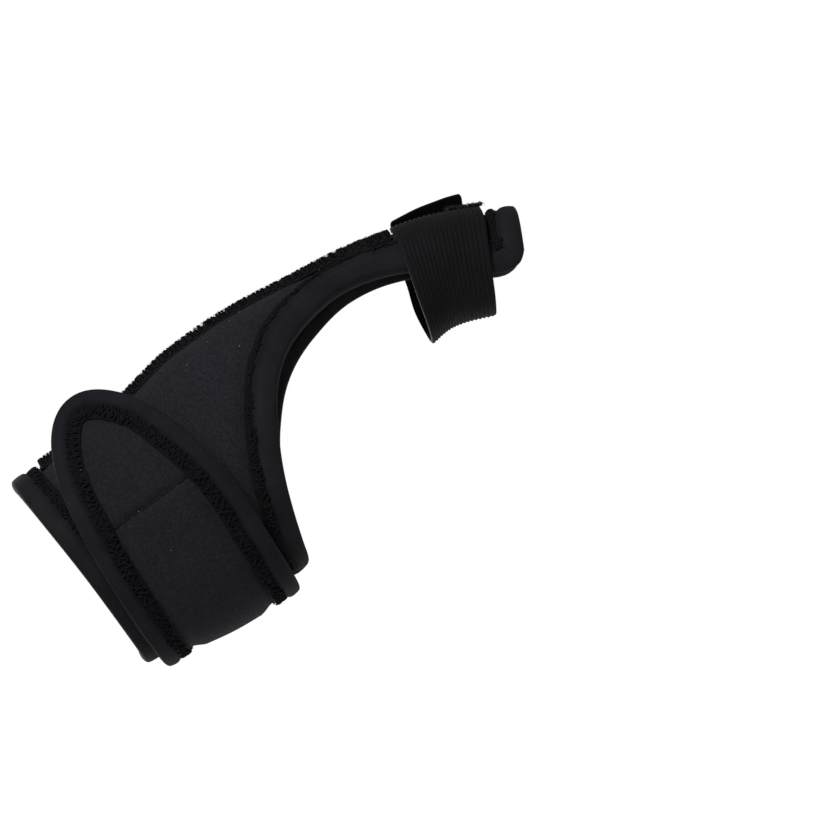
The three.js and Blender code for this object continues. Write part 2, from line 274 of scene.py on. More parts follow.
def smooth_noise(size: tuple[int, ...], cells: tuple[int, ...], seed: int, wrap: bool = False) -> np.ndarray:
    """Gives soft random values on a line or grid, from about -1 to 1.

    Args:
        size: Number of values each way.
        cells: Number of random knots each way.
        seed: Fixed seed.
        wrap: Whether the first axis closes on itself.

    Returns:
        An array of the given size.
    """
    values = np.random.default_rng(seed).uniform(-1, 1, cells)
    for axis, count in enumerate(size):
        knots = cells[axis]
        closes = wrap and axis == 0
        at = np.linspace(0, knots if closes else knots - 1, count, endpoint=not closes)
        i = np.clip(np.floor(at).astype(int), 0, knots - 1)
        j = (i + 1) % knots if closes else np.minimum(i + 1, knots - 1)
        t = at - i
        t = t * t * (3 - 2 * t)
        shape = [1] * values.ndim
        shape[axis] = count
        t = t.reshape(shape)
        values = np.take(values, i, axis) * (1 - t) + np.take(values, j, axis) * t
    return values


class MeshMaker:
    """Turns arrays of points in millimetres into Blender objects on the frame."""

    @staticmethod
    def make(
        name: str, points: np.ndarray, faces: np.ndarray, uvs: np.ndarray | None, material: Material
    ) -> Piece:
        """Makes an object at the origin.

        Args:
            name: The piece's name.
            points: Points in millimetres.
            faces: Tuples or rows of point numbers.
            uvs: A place in millimetres for each point, or None.
            material: The piece's material.

        Returns:
            The new object.
        """
        mesh = bpy.data.meshes.new(name)
        mesh.from_pydata((points * MM).tolist(), [], [tuple(int(i) for i in f) for f in faces])
        if uvs is not None:
            layer = mesh.uv_layers.new(name="cloth")
            loops = np.empty(len(mesh.loops), dtype=np.int32)
            mesh.loops.foreach_get("vertex_index", loops)
            layer.data.foreach_set("uv", (uvs[loops] * MM).astype(np.float32).ravel())
        mesh.polygons.foreach_set("use_smooth", [True] * len(mesh.polygons))
        mesh.materials.append(material)
        mesh.update()
        piece = bpy.data.objects.new(name, mesh)
        bpy.context.scene.collection.objects.link(piece)
        return piece

    @staticmethod
    def grid_faces(rows: int, columns: int, offset: int = 0, closed: bool = False) -> np.ndarray:
        """Gives the quads of a grid of points, row by row.

        Args:
            rows: Number of rows.
            columns: Number of points in a row.
            offset: Number of the grid's first point.
            closed: Whether rows and columns run back to their start.

        Returns:
            Four point numbers for each quad.
        """
        i = np.arange(rows if closed else rows - 1)
        j = np.arange(columns if closed else columns - 1)
        i, j = (a.ravel() for a in np.meshgrid(i, j, indexing="ij"))
        k, m = (i + 1) % rows, (j + 1) % columns
        corners = [i * columns + j, i * columns + m, k * columns + m, k * columns + j]
        return np.stack(corners, axis=1) + offset

    @classmethod
    def sheet(
        cls, name: str, lower: np.ndarray, upper: np.ndarray, uvs: np.ndarray, materials: list[Material]
    ) -> Piece:
        """Makes a closed sheet of cloth between two grids of points.

        Args:
            name: The piece's name.
            lower: Grid of points on the inner face, rows by columns by 3.
            upper: The same for the outer face.
            uvs: Grid of places on the cloth, in millimetres.
            materials: The outer face's material, and the inner face's if it differs.

        Returns:
            The new object.
        """
        rows, columns = upper.shape[:2]
        count = rows * columns
        top = cls.grid_faces(rows, columns)
        bottom = cls.grid_faces(rows, columns, count)[:, ::-1]
        ids = np.arange(count).reshape(rows, columns)
        rim = np.concatenate([ids[:, 0], ids[-1, 1:], ids[-2::-1, -1], ids[0, -2:0:-1]])
        after = np.roll(rim, -1)
        sides = np.stack([rim, after, after + count, rim + count], axis=1)
        points = np.concatenate([upper.reshape(-1, 3), lower.reshape(-1, 3)])
        flat = np.concatenate([uvs.reshape(-1, 2)] * 2)
        faces = np.concatenate([top, bottom, sides])
        if cls.volume(points, faces) < 0:
            faces = faces[:, ::-1]
        piece = cls.make(name, points, faces, flat, materials[0])
        if len(materials) > 1:
            piece.data.materials.append(materials[1])
            slots = np.concatenate([np.zeros(len(top)), np.ones(len(bottom)), np.zeros(len(sides))])
            piece.data.polygons.foreach_set("material_index", slots.astype(np.int32))
        return piece

    @staticmethod
    def volume(points: np.ndarray, faces: np.ndarray) -> float:
        """Gives the signed volume of a closed mesh of quads.

        Args:
            points: The mesh's points.
            faces: Four point numbers for each quad.

        Returns:
            The volume, negative where the faces point inwards.
        """
        a, b, c, d = (points[faces[:, i]] for i in range(4))
        first = (a * np.cross(b, c)).sum()
        return float(first + (a * np.cross(c, d)).sum()) / 6


class Shader:
    """Builds a procedural material node by node."""

    def __init__(self, name: str) -> None:
        """Starts a material of the given name.

        Args:
            name: The material's name.
        """
        self.material = bpy.data.materials.new(name)
        self.material.use_nodes = True
        self.tree = self.material.node_tree
        self.bsdf = self.tree.nodes["Principled BSDF"]

    def node(self, kind: str, inputs: dict[str | int, Value] | None = None, **settings: str) -> Node:
        """Adds a node.

        Args:
            kind: The node's type.
            inputs: Values or links for its inputs, by name or number.
            settings: The node's own properties.

        Returns:
            The new node.
        """
        made = self.tree.nodes.new(kind)
        for key, value in settings.items():
            setattr(made, key, value)
        for key, value in (inputs or {}).items():
            self.join(value, made.inputs[key])
        return made

    def join(self, value: Value, socket: Socket) -> None:
        """Links an output to a socket, or sets the socket to a plain value."""
        if isinstance(value, bpy.types.NodeSocket):
            self.tree.links.new(value, socket)
        else:
            socket.default_value = value

    def math(self, operation: str, a: Value, b: Value = 0.0) -> Socket:
        """Adds one step of arithmetic and gives its result."""
        return self.node("ShaderNodeMath", {0: a, 1: b}, operation=operation).outputs[0]

    def cloth_place(self, scale: tuple[float, float]) -> Socket:
        """Gives the place on the cloth, in cells of the given numbers to a metre."""
        uv = self.node("ShaderNodeUVMap", uv_map="cloth").outputs[0]
        return self.node("ShaderNodeMapping", {0: uv, 3: (scale[0], scale[1], 1)}).outputs[0]

    def object_place(self) -> Socket:
        """Gives the place in the object's own frame."""
        return self.node("ShaderNodeTexCoord").outputs["Object"]

    def noise(self, place: Socket, scale: float, detail: float = 2.0, rough: float = 0.5) -> Socket:
        """Adds a noise texture and gives its value."""
        inputs = {"Vector": place, "Scale": scale, "Detail": detail, "Roughness": rough}
        return self.node("ShaderNodeTexNoise", inputs).outputs[0]

    def mix(self, factor: Value, a: Value, b: Value) -> Socket:
        """Mixes the colours a and b, all b at a factor of 1."""
        return self.node("ShaderNodeMix", {0: factor, 6: a, 7: b}, data_type="RGBA").outputs[2]

    def bump(self, height: Socket, distance: float, strength: float) -> Socket:
        """Adds a bump and gives its normal."""
        inputs = {"Height": height, "Distance": distance, "Strength": strength}
        return self.node("ShaderNodeBump", inputs).outputs[0]

    def spread(self, value: Socket, low: float, high: float) -> Socket:
        """Maps a value from low..high to 0..1, held at both ends."""
        return self.node("ShaderNodeMapRange", {0: value, 1: low, 2: high}).outputs[0]


def srgb(*channels: float) -> Colour:
    """Turns a screen colour of 0 to 255 in each channel into linear light."""
    shares = (c / 255 for c in channels)
    return (*(c / 12.92 if c <= 0.04045 else ((c + 0.055) / 1.055) ** 2.4 for c in shares), 1.0)


def shade(colour: Colour, share: float) -> Colour:
    """Gives a share of a colour's light."""
    return (*(c * share for c in colour[:3]), 1.0)


@dataclass(frozen=True)
class KnitFinish:
    """Fine knitted cover on foam: rows of small loops, soft fuzz, faint colour changes and painted shade in
    the hollows between the loops.
    """

    name: str
    dark: Colour
    light: Colour
    loops_per_mm: float = 1.25
    relief: float = 0.00016
    sheen: float = 0.06

    def build(self) -> Material:
        """Makes the material.

        Returns:
            The finished material.
        """
        s = Shader(self.name)
        cells = s.cloth_place((self.loops_per_mm * 1000, self.loops_per_mm * 780))
        wobble = s.noise(s.object_place(), 900, 1.0)
        bent = s.node("ShaderNodeVectorMath", {0: cells, 1: wobble}, operation="ADD").outputs[0]
        loops = s.node("ShaderNodeTexVoronoi", {"Vector": bent, "Scale": 1.0, "Randomness": 0.45}).outputs[0]
        fibre = s.noise(s.object_place(), 5200, 3.0, 0.7)
        patches = s.noise(s.object_place(), 46, 3.0, 0.6)
        grain = s.spread(s.noise(s.object_place(), 2100, 2.0, 0.6), 0.3, 0.7)
        wear = s.math("MULTIPLY", s.spread(patches, 0.3, 0.7), 0.2)
        worn = s.math("ADD", wear, s.math("MULTIPLY", grain, 0.75))
        # Painted shade: the colour is darkened towards the hollows between the loops, where the bump is
        # lowest.
        hollow_shade = s.spread(loops, 0.25, 0.75)
        colour = s.mix(worn, self.dark, self.light)
        colour = s.mix(s.math("MULTIPLY", hollow_shade, 0.6), colour, shade(self.dark, 0.55))
        height = s.math("SUBTRACT", s.math("MULTIPLY", fibre, 0.5), loops)
        s.join(colour, s.bsdf.inputs["Base Color"])
        s.join(s.bump(height, self.relief, 0.75), s.bsdf.inputs["Normal"])
        s.bsdf.inputs["Roughness"].default_value = 0.93
        s.bsdf.inputs["Specular IOR Level"].default_value = 0.1
        s.bsdf.inputs["Sheen Weight"].default_value = self.sheen
        s.bsdf.inputs["Sheen Roughness"].default_value = 0.45
        s.bsdf.inputs["Sheen Tint"].default_value = (0.75, 0.82, 0.95, 1)
        return s.material


@dataclass(frozen=True)
class TapeFinish:
    """Closely woven tape: fine ribs across it and, where it is sewn, a strip of painted shade by its inner
    edge.
    """

    name: str
    dark: Colour
    light: Colour
    ribs_per_mm: float = 1.7
    relief: float = 0.00012
    rough: float = 0.82
    # Width in millimetres, in from the inner edge, of the strip of painted shade; 0 leaves it out.
    sewn: float = 0.0

    def build(self) -> Material:
        """Makes the material.

        Returns:
            The finished material.
        """
        s = Shader(self.name)
        cells = s.cloth_place((self.ribs_per_mm * 1000, self.ribs_per_mm * 640))
        parts = s.node("ShaderNodeSeparateXYZ", {0: cells})
        wobble = s.math("MULTIPLY", s.noise(s.object_place(), 700, 2.0), 0.9)
        rib = s.math("SINE", s.math("MULTIPLY", s.math("ADD", parts.outputs[0], wobble), 2 * math.pi))
        over = s.math("SINE", s.math("MULTIPLY", s.math("ADD", parts.outputs[1], wobble), 2 * math.pi))
        crossing = s.math("MULTIPLY", s.math("MULTIPLY", rib, over), 0.5)
        weave = s.math("ADD", s.math("MULTIPLY", rib, 0.6), crossing)
        fibre = s.noise(s.object_place(), 4300, 3.0, 0.7)
        patches = s.spread(s.noise(s.object_place(), 60, 3.0, 0.6), 0.35, 0.7)
        colour = s.mix(patches, self.dark, self.light)
        if self.sewn:
            colour = self.shade_sewn(s, colour)
        s.join(colour, s.bsdf.inputs["Base Color"])
        height = s.math("ADD", s.math("MULTIPLY", weave, 0.35), fibre)
        s.join(s.bump(height, self.relief, 0.7), s.bsdf.inputs["Normal"])
        s.bsdf.inputs["Roughness"].default_value = self.rough
        s.bsdf.inputs["Specular IOR Level"].default_value = 0.12
        s.bsdf.inputs["Sheen Weight"].default_value = 0.03
        s.bsdf.inputs["Sheen Roughness"].default_value = 0.4
        return s.material

    def shade_sewn(self, s: Shader, colour: Socket) -> Socket:
        """Paints shade on the sewn strip along the tape's inner edge, which starts at 0 across the cloth.

        Args:
            s: The material being built.
            colour: The tape's own colour.

        Returns:
            The colour with the strip of painted shade.
        """
        across = s.node("ShaderNodeSeparateXYZ", {0: s.cloth_place((1000, 1000))}).outputs[1]
        ragged = s.math("MULTIPLY", s.noise(s.object_place(), 800, 1.0), 0.8)
        # Painted shade: the sewn strip is darkened towards a third of the tape's dark colour, standing in
        # for the shade among the stitches.
        strip = s.spread(s.math("ADD", across, ragged), self.sewn + 1.0, self.sewn)
        return s.mix(s.math("MULTIPLY", strip, 0.95), colour, shade(self.dark, 0.3))


@dataclass(frozen=True)
class ThreadFinish:
    """Twisted sewing thread, or loose pile fibres."""

    name: str
    colour: Colour
    twist: float = 1600
    rough: float = 0.7
    sheen: float = 0.2

    def build(self) -> Material:
        """Makes the material.

        Returns:
            The finished material.
        """
        s = Shader(self.name)
        tone = s.noise(s.object_place(), self.twist, 2.0)
        colour = s.mix(s.spread(tone, 0.3, 0.7), shade(self.colour, 0.6), self.colour)
        s.join(colour, s.bsdf.inputs["Base Color"])
        s.join(s.bump(tone, 0.00005, 0.5), s.bsdf.inputs["Normal"])
        s.bsdf.inputs["Roughness"].default_value = self.rough
        s.bsdf.inputs["Specular IOR Level"].default_value = 0.05
        s.bsdf.inputs["Sheen Weight"].default_value = self.sheen
        return s.material


@dataclass(frozen=True)
class HookFinish:
    """Stiff black tape with rows of tiny hooks, their tips painted lighter as a highlight."""

    name: str
    colour: Colour
    hooks_per_mm: float = 1.4

    def build(self) -> Material:
        """Makes the material.

        Returns:
            The finished material.
        """
        s = Shader(self.name)
        cells = s.cloth_place((self.hooks_per_mm * 1000, self.hooks_per_mm * 1000))
        dots = s.node("ShaderNodeTexVoronoi", {"Vector": cells, "Scale": 1.0, "Randomness": 0.15}).outputs[0]
        tip = s.spread(dots, 0.42, 0.12)
        # Painted highlight: the hook tips are coloured lighter than the tape.
        s.join(s.mix(tip, self.colour, shade(self.colour, 1.3)), s.bsdf.inputs["Base Color"])
        s.join(s.bump(tip, 0.0003, 0.7), s.bsdf.inputs["Normal"])
        s.bsdf.inputs["Roughness"].default_value = 0.75
        s.bsdf.inputs["Specular IOR Level"].default_value = 0.06
        return s.material


class Finishes:
    """Every finish of the splint, made once."""

    def __init__(self) -> None:
        """Makes the materials."""
        self.wrap = KnitFinish("wrap_knit", srgb(22, 21, 26), srgb(40, 39, 45)).build()
        self.strap = KnitFinish("strap_knit", srgb(20, 19, 24), srgb(37, 36, 41)).build()
        lining = KnitFinish("lining_knit", srgb(24, 24, 27), srgb(36, 36, 40), 1.0, 0.0002, 0.05)
        self.lining = lining.build()
        # sewn= gives the width of each tape's strip of painted shade along its sewn edge.
        self.wrap_tape = TapeFinish("wrap_tape", srgb(15, 14, 18), srgb(24, 23, 27), sewn=3.7).build()
        self.strap_tape = TapeFinish("strap_tape", srgb(14, 13, 18), srgb(22, 21, 27), sewn=4.7).build()
        # Darker than the other tapes: partly the seam tape's own black, partly painted shade, as the seam
        # faces away from the light.
        self.seam_tape = TapeFinish("seam_tape_weave", srgb(7, 7, 9), srgb(12, 12, 15)).build()
        self.elastic = TapeFinish("elastic_weave", srgb(10, 10, 12), srgb(16, 15, 18), 1.1).build()
        self.thread = ThreadFinish("black_thread", srgb(21, 20, 24), 1600, 0.9, 0.0).build()
        self.strap_thread = ThreadFinish("strap_thread", srgb(20, 19, 24), 1600, 0.9, 0.0).build()
        # The overlock thread is darkened the same way: partly its own black, partly painted shade.
        self.overlock = ThreadFinish("overlock_thread", srgb(9, 9, 12), 1400, 0.9, 0.0).build()
        self.fuzz = ThreadFinish("seam_fuzz_fibre", srgb(13, 18, 21), 1400, 0.9, 0.0).build()
        self.pile = ThreadFinish("slate_pile", srgb(22, 38, 46), 900, 0.85, 0.08).build()
        self.lint = ThreadFinish("lint", srgb(150, 152, 156), 600, 0.9, 0.1).build()
        self.hook = HookFinish("hook_tape", srgb(3, 3, 4)).build()


class Pattern:
    """A Geometry Nodes group that repeats a small shape over points, turned by their own directions."""

    def __init__(self, name: str, inputs: dict[str, tuple]) -> None:
        """Starts the group.

        Args:
            name: The group's name.
            inputs: Socket type and usual value of each input, by label.
        """
        self.name = name
        self.tree = bpy.data.node_groups.new(name, "GeometryNodeTree")
        face = self.tree.interface
        face.new_socket("Geometry", in_out="INPUT", socket_type="NodeSocketGeometry")
        face.new_socket("Geometry", in_out="OUTPUT", socket_type="NodeSocketGeometry")
        self.sockets = {}
        for label, (kind, value) in inputs.items():
            socket = face.new_socket(label, in_out="INPUT", socket_type=kind)
            if value is not None:
                socket.default_value = value
            self.sockets[label] = socket.identifier
        self.entry = self.tree.nodes.new("NodeGroupInput")
        self.exit = self.tree.nodes.new("NodeGroupOutput")

    def node(self, kind: str, inputs: dict[str | int, Value] | None = None, **settings: str) -> Node:
        """Adds a node.

        Args:
            kind: The node's type.
            inputs: Values or links for its inputs, by name or number.
            settings: The node's own properties.

        Returns:
            The new node.
        """
        made = self.tree.nodes.new(kind)
        for key, value in settings.items():
            setattr(made, key, value)
        for key, value in (inputs or {}).items():
            if isinstance(value, bpy.types.NodeSocket):
                self.tree.links.new(value, made.inputs[key])
            else:
                made.inputs[key].default_value = value
        return made

    def math(self, operation: str, a: Value, b: Value) -> Socket:
        """Adds one step of arithmetic and gives its result."""
        return self.node("ShaderNodeMath", {0: a, 1: b}, operation=operation).outputs[0]

    def strand(self, bend: dict[str, Value], sides: int) -> Socket:
        """Makes one bent strand with the group's radius.

        Args:
            bend: Inputs of the curve that it follows.
            sides: Number of sides round it.

        Returns:
            Its geometry.
        """
        curve = self.node("GeometryNodeCurveQuadraticBezier", bend).outputs[0]
        size = {"Resolution": sides, "Radius": self.entry.outputs["Radius"]}
        ring = self.node("GeometryNodeCurvePrimitiveCircle", size).outputs[0]
        return self.node("GeometryNodeCurveToMesh", {0: curve, 1: ring, "Fill Caps": True}).outputs[0]

    def end(self, geometry: Socket) -> None:
        """Ends the group with realized instances in the chosen material.

        Args:
            geometry: The instances.
        """
        real = self.node("GeometryNodeRealizeInstances", {0: geometry}).outputs[0]
        dressed = self.node("GeometryNodeSetMaterial", {0: real, "Material": self.entry.outputs["Material"]})
        smooth = self.node("GeometryNodeSetShadeSmooth", {0: dressed.outputs[0]}).outputs[0]
        self.tree.links.new(smooth, self.exit.inputs[0])

    def apply(self, piece: Piece, values: dict) -> Piece:
        """Runs the group on a piece and keeps the result as a plain mesh.

        Args:
            piece: The piece with the points or faces that the group starts from.
            values: A value for each input, by label.

        Returns:
            The same piece with its new mesh.
        """
        modifier = piece.modifiers.new(self.name, "NODES")
        modifier.node_group = self.tree
        for label, value in values.items():
            modifier[self.sockets[label]] = value
        bpy.context.view_layer.update()
        evaluated = piece.evaluated_get(bpy.context.evaluated_depsgraph_get())
        mesh = bpy.data.meshes.new_from_object(evaluated)
        piece.modifiers.clear()
        old = piece.data
        piece.data = mesh
        mesh.name = piece.name
        bpy.data.meshes.remove(old)
        return piece


class StitchPattern(Pattern):
    """Short bowed threads, one on each point, along the point's "aim" and bowed towards its "up"."""

    def __init__(self) -> None:
        """Builds the group."""
        super().__init__(
            "stitch_row",
            {
                "Length": ("NodeSocketFloat", 0.003),
                "Radius": ("NodeSocketFloat", 0.0002),
                "Bow": ("NodeSocketFloat", 0.0003),
                "Unevenness": ("NodeSocketFloat", 0.1),
                "Seed": ("NodeSocketInt", 1),
                "Material": ("NodeSocketMaterial", None),
            },
        )
        given = self.entry.outputs
        half = self.math("MULTIPLY", given["Length"], 0.5)
        back = self.math("MULTIPLY", half, -1.0)
        start = self.node("ShaderNodeCombineXYZ", {0: back}).outputs[0]
        middle = self.node("ShaderNodeCombineXYZ", {2: given["Bow"]}).outputs[0]
        end = self.node("ShaderNodeCombineXYZ", {0: half}).outputs[0]
        bend = {"Resolution": 5, "Start": start, "Middle": middle, "End": end}
        self.place(self.strand(bend, 6))

    def place(self, thread: Socket) -> None:
        """Puts the thread on every point, turned to its directions and slightly uneven.

        Args:
            thread: The thread's shape.
        """
        given = self.entry.outputs
        aim = self.node("GeometryNodeInputNamedAttribute", {0: "aim"}, data_type="FLOAT_VECTOR").outputs[0]
        up = self.node("GeometryNodeInputNamedAttribute", {0: "up"}, data_type="FLOAT_VECTOR").outputs[0]
        along = self.node("FunctionNodeAlignRotationToVector", {"Vector": aim}, axis="X").outputs[0]
        turned = self.node(
            "FunctionNodeAlignRotationToVector", {"Rotation": along, "Vector": up}, axis="Z", pivot_axis="X"
        ).outputs[0]
        least = self.math("SUBTRACT", 1.0, given["Unevenness"])
        most = self.math("ADD", 1.0, given["Unevenness"])
        size = self.node("FunctionNodeRandomValue", {"Min": 0.0, "Max": 1.0, "Seed": given["Seed"]})
        self.tree.links.new(least, size.inputs[2])
        self.tree.links.new(most, size.inputs[3])
        points = self.node(
            "GeometryNodeInstanceOnPoints",
            {"Points": given["Geometry"], "Instance": thread, "Rotation": turned, "Scale": size.outputs[1]},
        )
        self.end(points.outputs[0])


class FibrePattern(Pattern):
    """Loose curved fibres scattered over a surface, leaning at random."""

    def __init__(self) -> None:
        """Builds the group."""
        super().__init__(
            "loose_fibres",
            {
                "Density": ("NodeSocketFloat", 1e6),
                "Length": ("NodeSocketFloat", 0.0015),
                "Radius": ("NodeSocketFloat", 0.00005),
                "Lean": ("NodeSocketFloat", 0.8),
                "Seed": ("NodeSocketInt", 1),
                "Material": ("NodeSocketMaterial", None),
            },
        )
        given = self.entry.outputs
        scatter = self.node(
            "GeometryNodeDistributePointsOnFaces",
            {"Mesh": given["Geometry"], "Density": given["Density"], "Seed": given["Seed"]},
        )
        side = self.math("MULTIPLY", given["Length"], 0.45)
        rise = self.math("MULTIPLY", given["Length"], 0.6)
        middle = self.node("ShaderNodeCombineXYZ", {0: side, 2: rise}).outputs[0]
        end = self.node("ShaderNodeCombineXYZ", {0: 0.0, 1: side, 2: given["Length"]}).outputs[0]
        fibre = self.strand({"Resolution": 4, "Start": (0, 0, 0), "Middle": middle, "End": end}, 3)
        least = self.math("MULTIPLY", given["Lean"], -1.0)
        low = self.node("ShaderNodeCombineXYZ", {0: least, 1: least, 2: -math.pi}).outputs[0]
        high = self.node("ShaderNodeCombineXYZ", {0: given["Lean"], 1: given["Lean"], 2: math.pi}).outputs[0]
        turn = self.node(
            "FunctionNodeRandomValue", {0: low, 1: high, "Seed": given["Seed"]}, data_type="FLOAT_VECTOR"
        ).outputs[0]
        local = self.node("FunctionNodeEulerToRotation", {0: turn}).outputs[0]
        turned = self.node(
            "FunctionNodeRotateRotation",
            {"Rotation": scatter.outputs["Rotation"], "Rotate By": local},
            rotation_space="LOCAL",
        ).outputs[0]
        size = self.node("FunctionNodeRandomValue", {2: 0.5, 3: 1.3, "Seed": given["Seed"]})
        placed = self.node(
            "GeometryNodeInstanceOnPoints",
            {"Points": scatter.outputs[0], "Instance": fibre, "Rotation": turned, "Scale": size.outputs[1]},
        )
        self.end(placed.outputs[0])


@dataclass(frozen=True)
class Thread:
    """Radius of a thread and how far it bows off the cloth, in millimetres, and a fixed seed."""

    radius: float
    bow: float
    seed: int


@dataclass(frozen=True)
class Fibre:
    """Loose fibres: number to a square millimetre, length and radius in millimetres, and lean."""

    density: float
    length: float
    radius: float
    lean: float
    seed: int


@dataclass
class Workshop:
    """What every piece is made with: the limb, the finishes and the repeating patterns."""

    limb: Limb = field(default_factory=Limb)
    finishes: Finishes = field(default_factory=Finishes)
    stitches: StitchPattern = field(default_factory=StitchPattern)
    fibres: FibrePattern = field(default_factory=FibrePattern)
    pieces: list = field(default_factory=list)

    def keep(self, piece: Piece, slot: str, *nodes: str) -> Piece:
        """Lets a piece ride on the splint.

        Args:
            piece: The finished piece.
            slot: Its material slot in the record; not used.
            nodes: Solids that it stands for.

        Returns:
            The same piece.
        """
        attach(piece, "root")
        if nodes:
            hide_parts(*nodes)
        self.pieces.append(piece)
        return piece

    def sew(self, name: str, ends: np.ndarray, ups: np.ndarray, material: Material, thread: Thread) -> Piece:
        """Sews a row of threads, each between two points.

        Args:
            name: The piece's name.
            ends: Pairs of points in millimetres, count by 2 by 3.
            ups: Direction off the cloth for each thread.
            material: The thread's material.
            thread: The thread's sizes.

        Returns:
            The row as one piece.
        """
        middle = ends.mean(axis=1)
        reach = np.linalg.norm(ends[:, 1] - ends[:, 0], axis=1)
        piece = MeshMaker.make(name, middle, [], None, material)
        for label, values in (("aim", unit(ends[:, 1] - ends[:, 0])), ("up", ups)):
            layer = piece.data.attributes.new(label, "FLOAT_VECTOR", "POINT")
            layer.data.foreach_set("vector", values.astype(np.float32).ravel())
        values = {
            "Length": float(np.median(reach)) * MM,
            "Radius": thread.radius * MM,
            "Bow": 2 * thread.bow * MM,
            "Unevenness": 0.3,
            "Seed": thread.seed,
            "Material": material,
        }
        return self.stitches.apply(piece, values)

    def fuzz(
        self, name: str, points: np.ndarray, faces: np.ndarray, material: Material, fibre: Fibre
    ) -> Piece:
        """Grows loose fibres on a guide surface.

        Args:
            name: The piece's name.
            points: The surface's points, in millimetres.
            faces: Its quads, by number of point.
            material: The fibres' material.
            fibre: The fibres' sizes.

        Returns:
            The fibres as one piece.
        """
        base = MeshMaker.make(name, points, faces, None, material)
        values = {
            "Density": fibre.density * 1e6,
            "Length": fibre.length * MM,
            "Radius": fibre.radius * MM,
            "Lean": fibre.lean,
            "Seed": fibre.seed,
            "Material": material,
        }
        return self.fibres.apply(base, values)


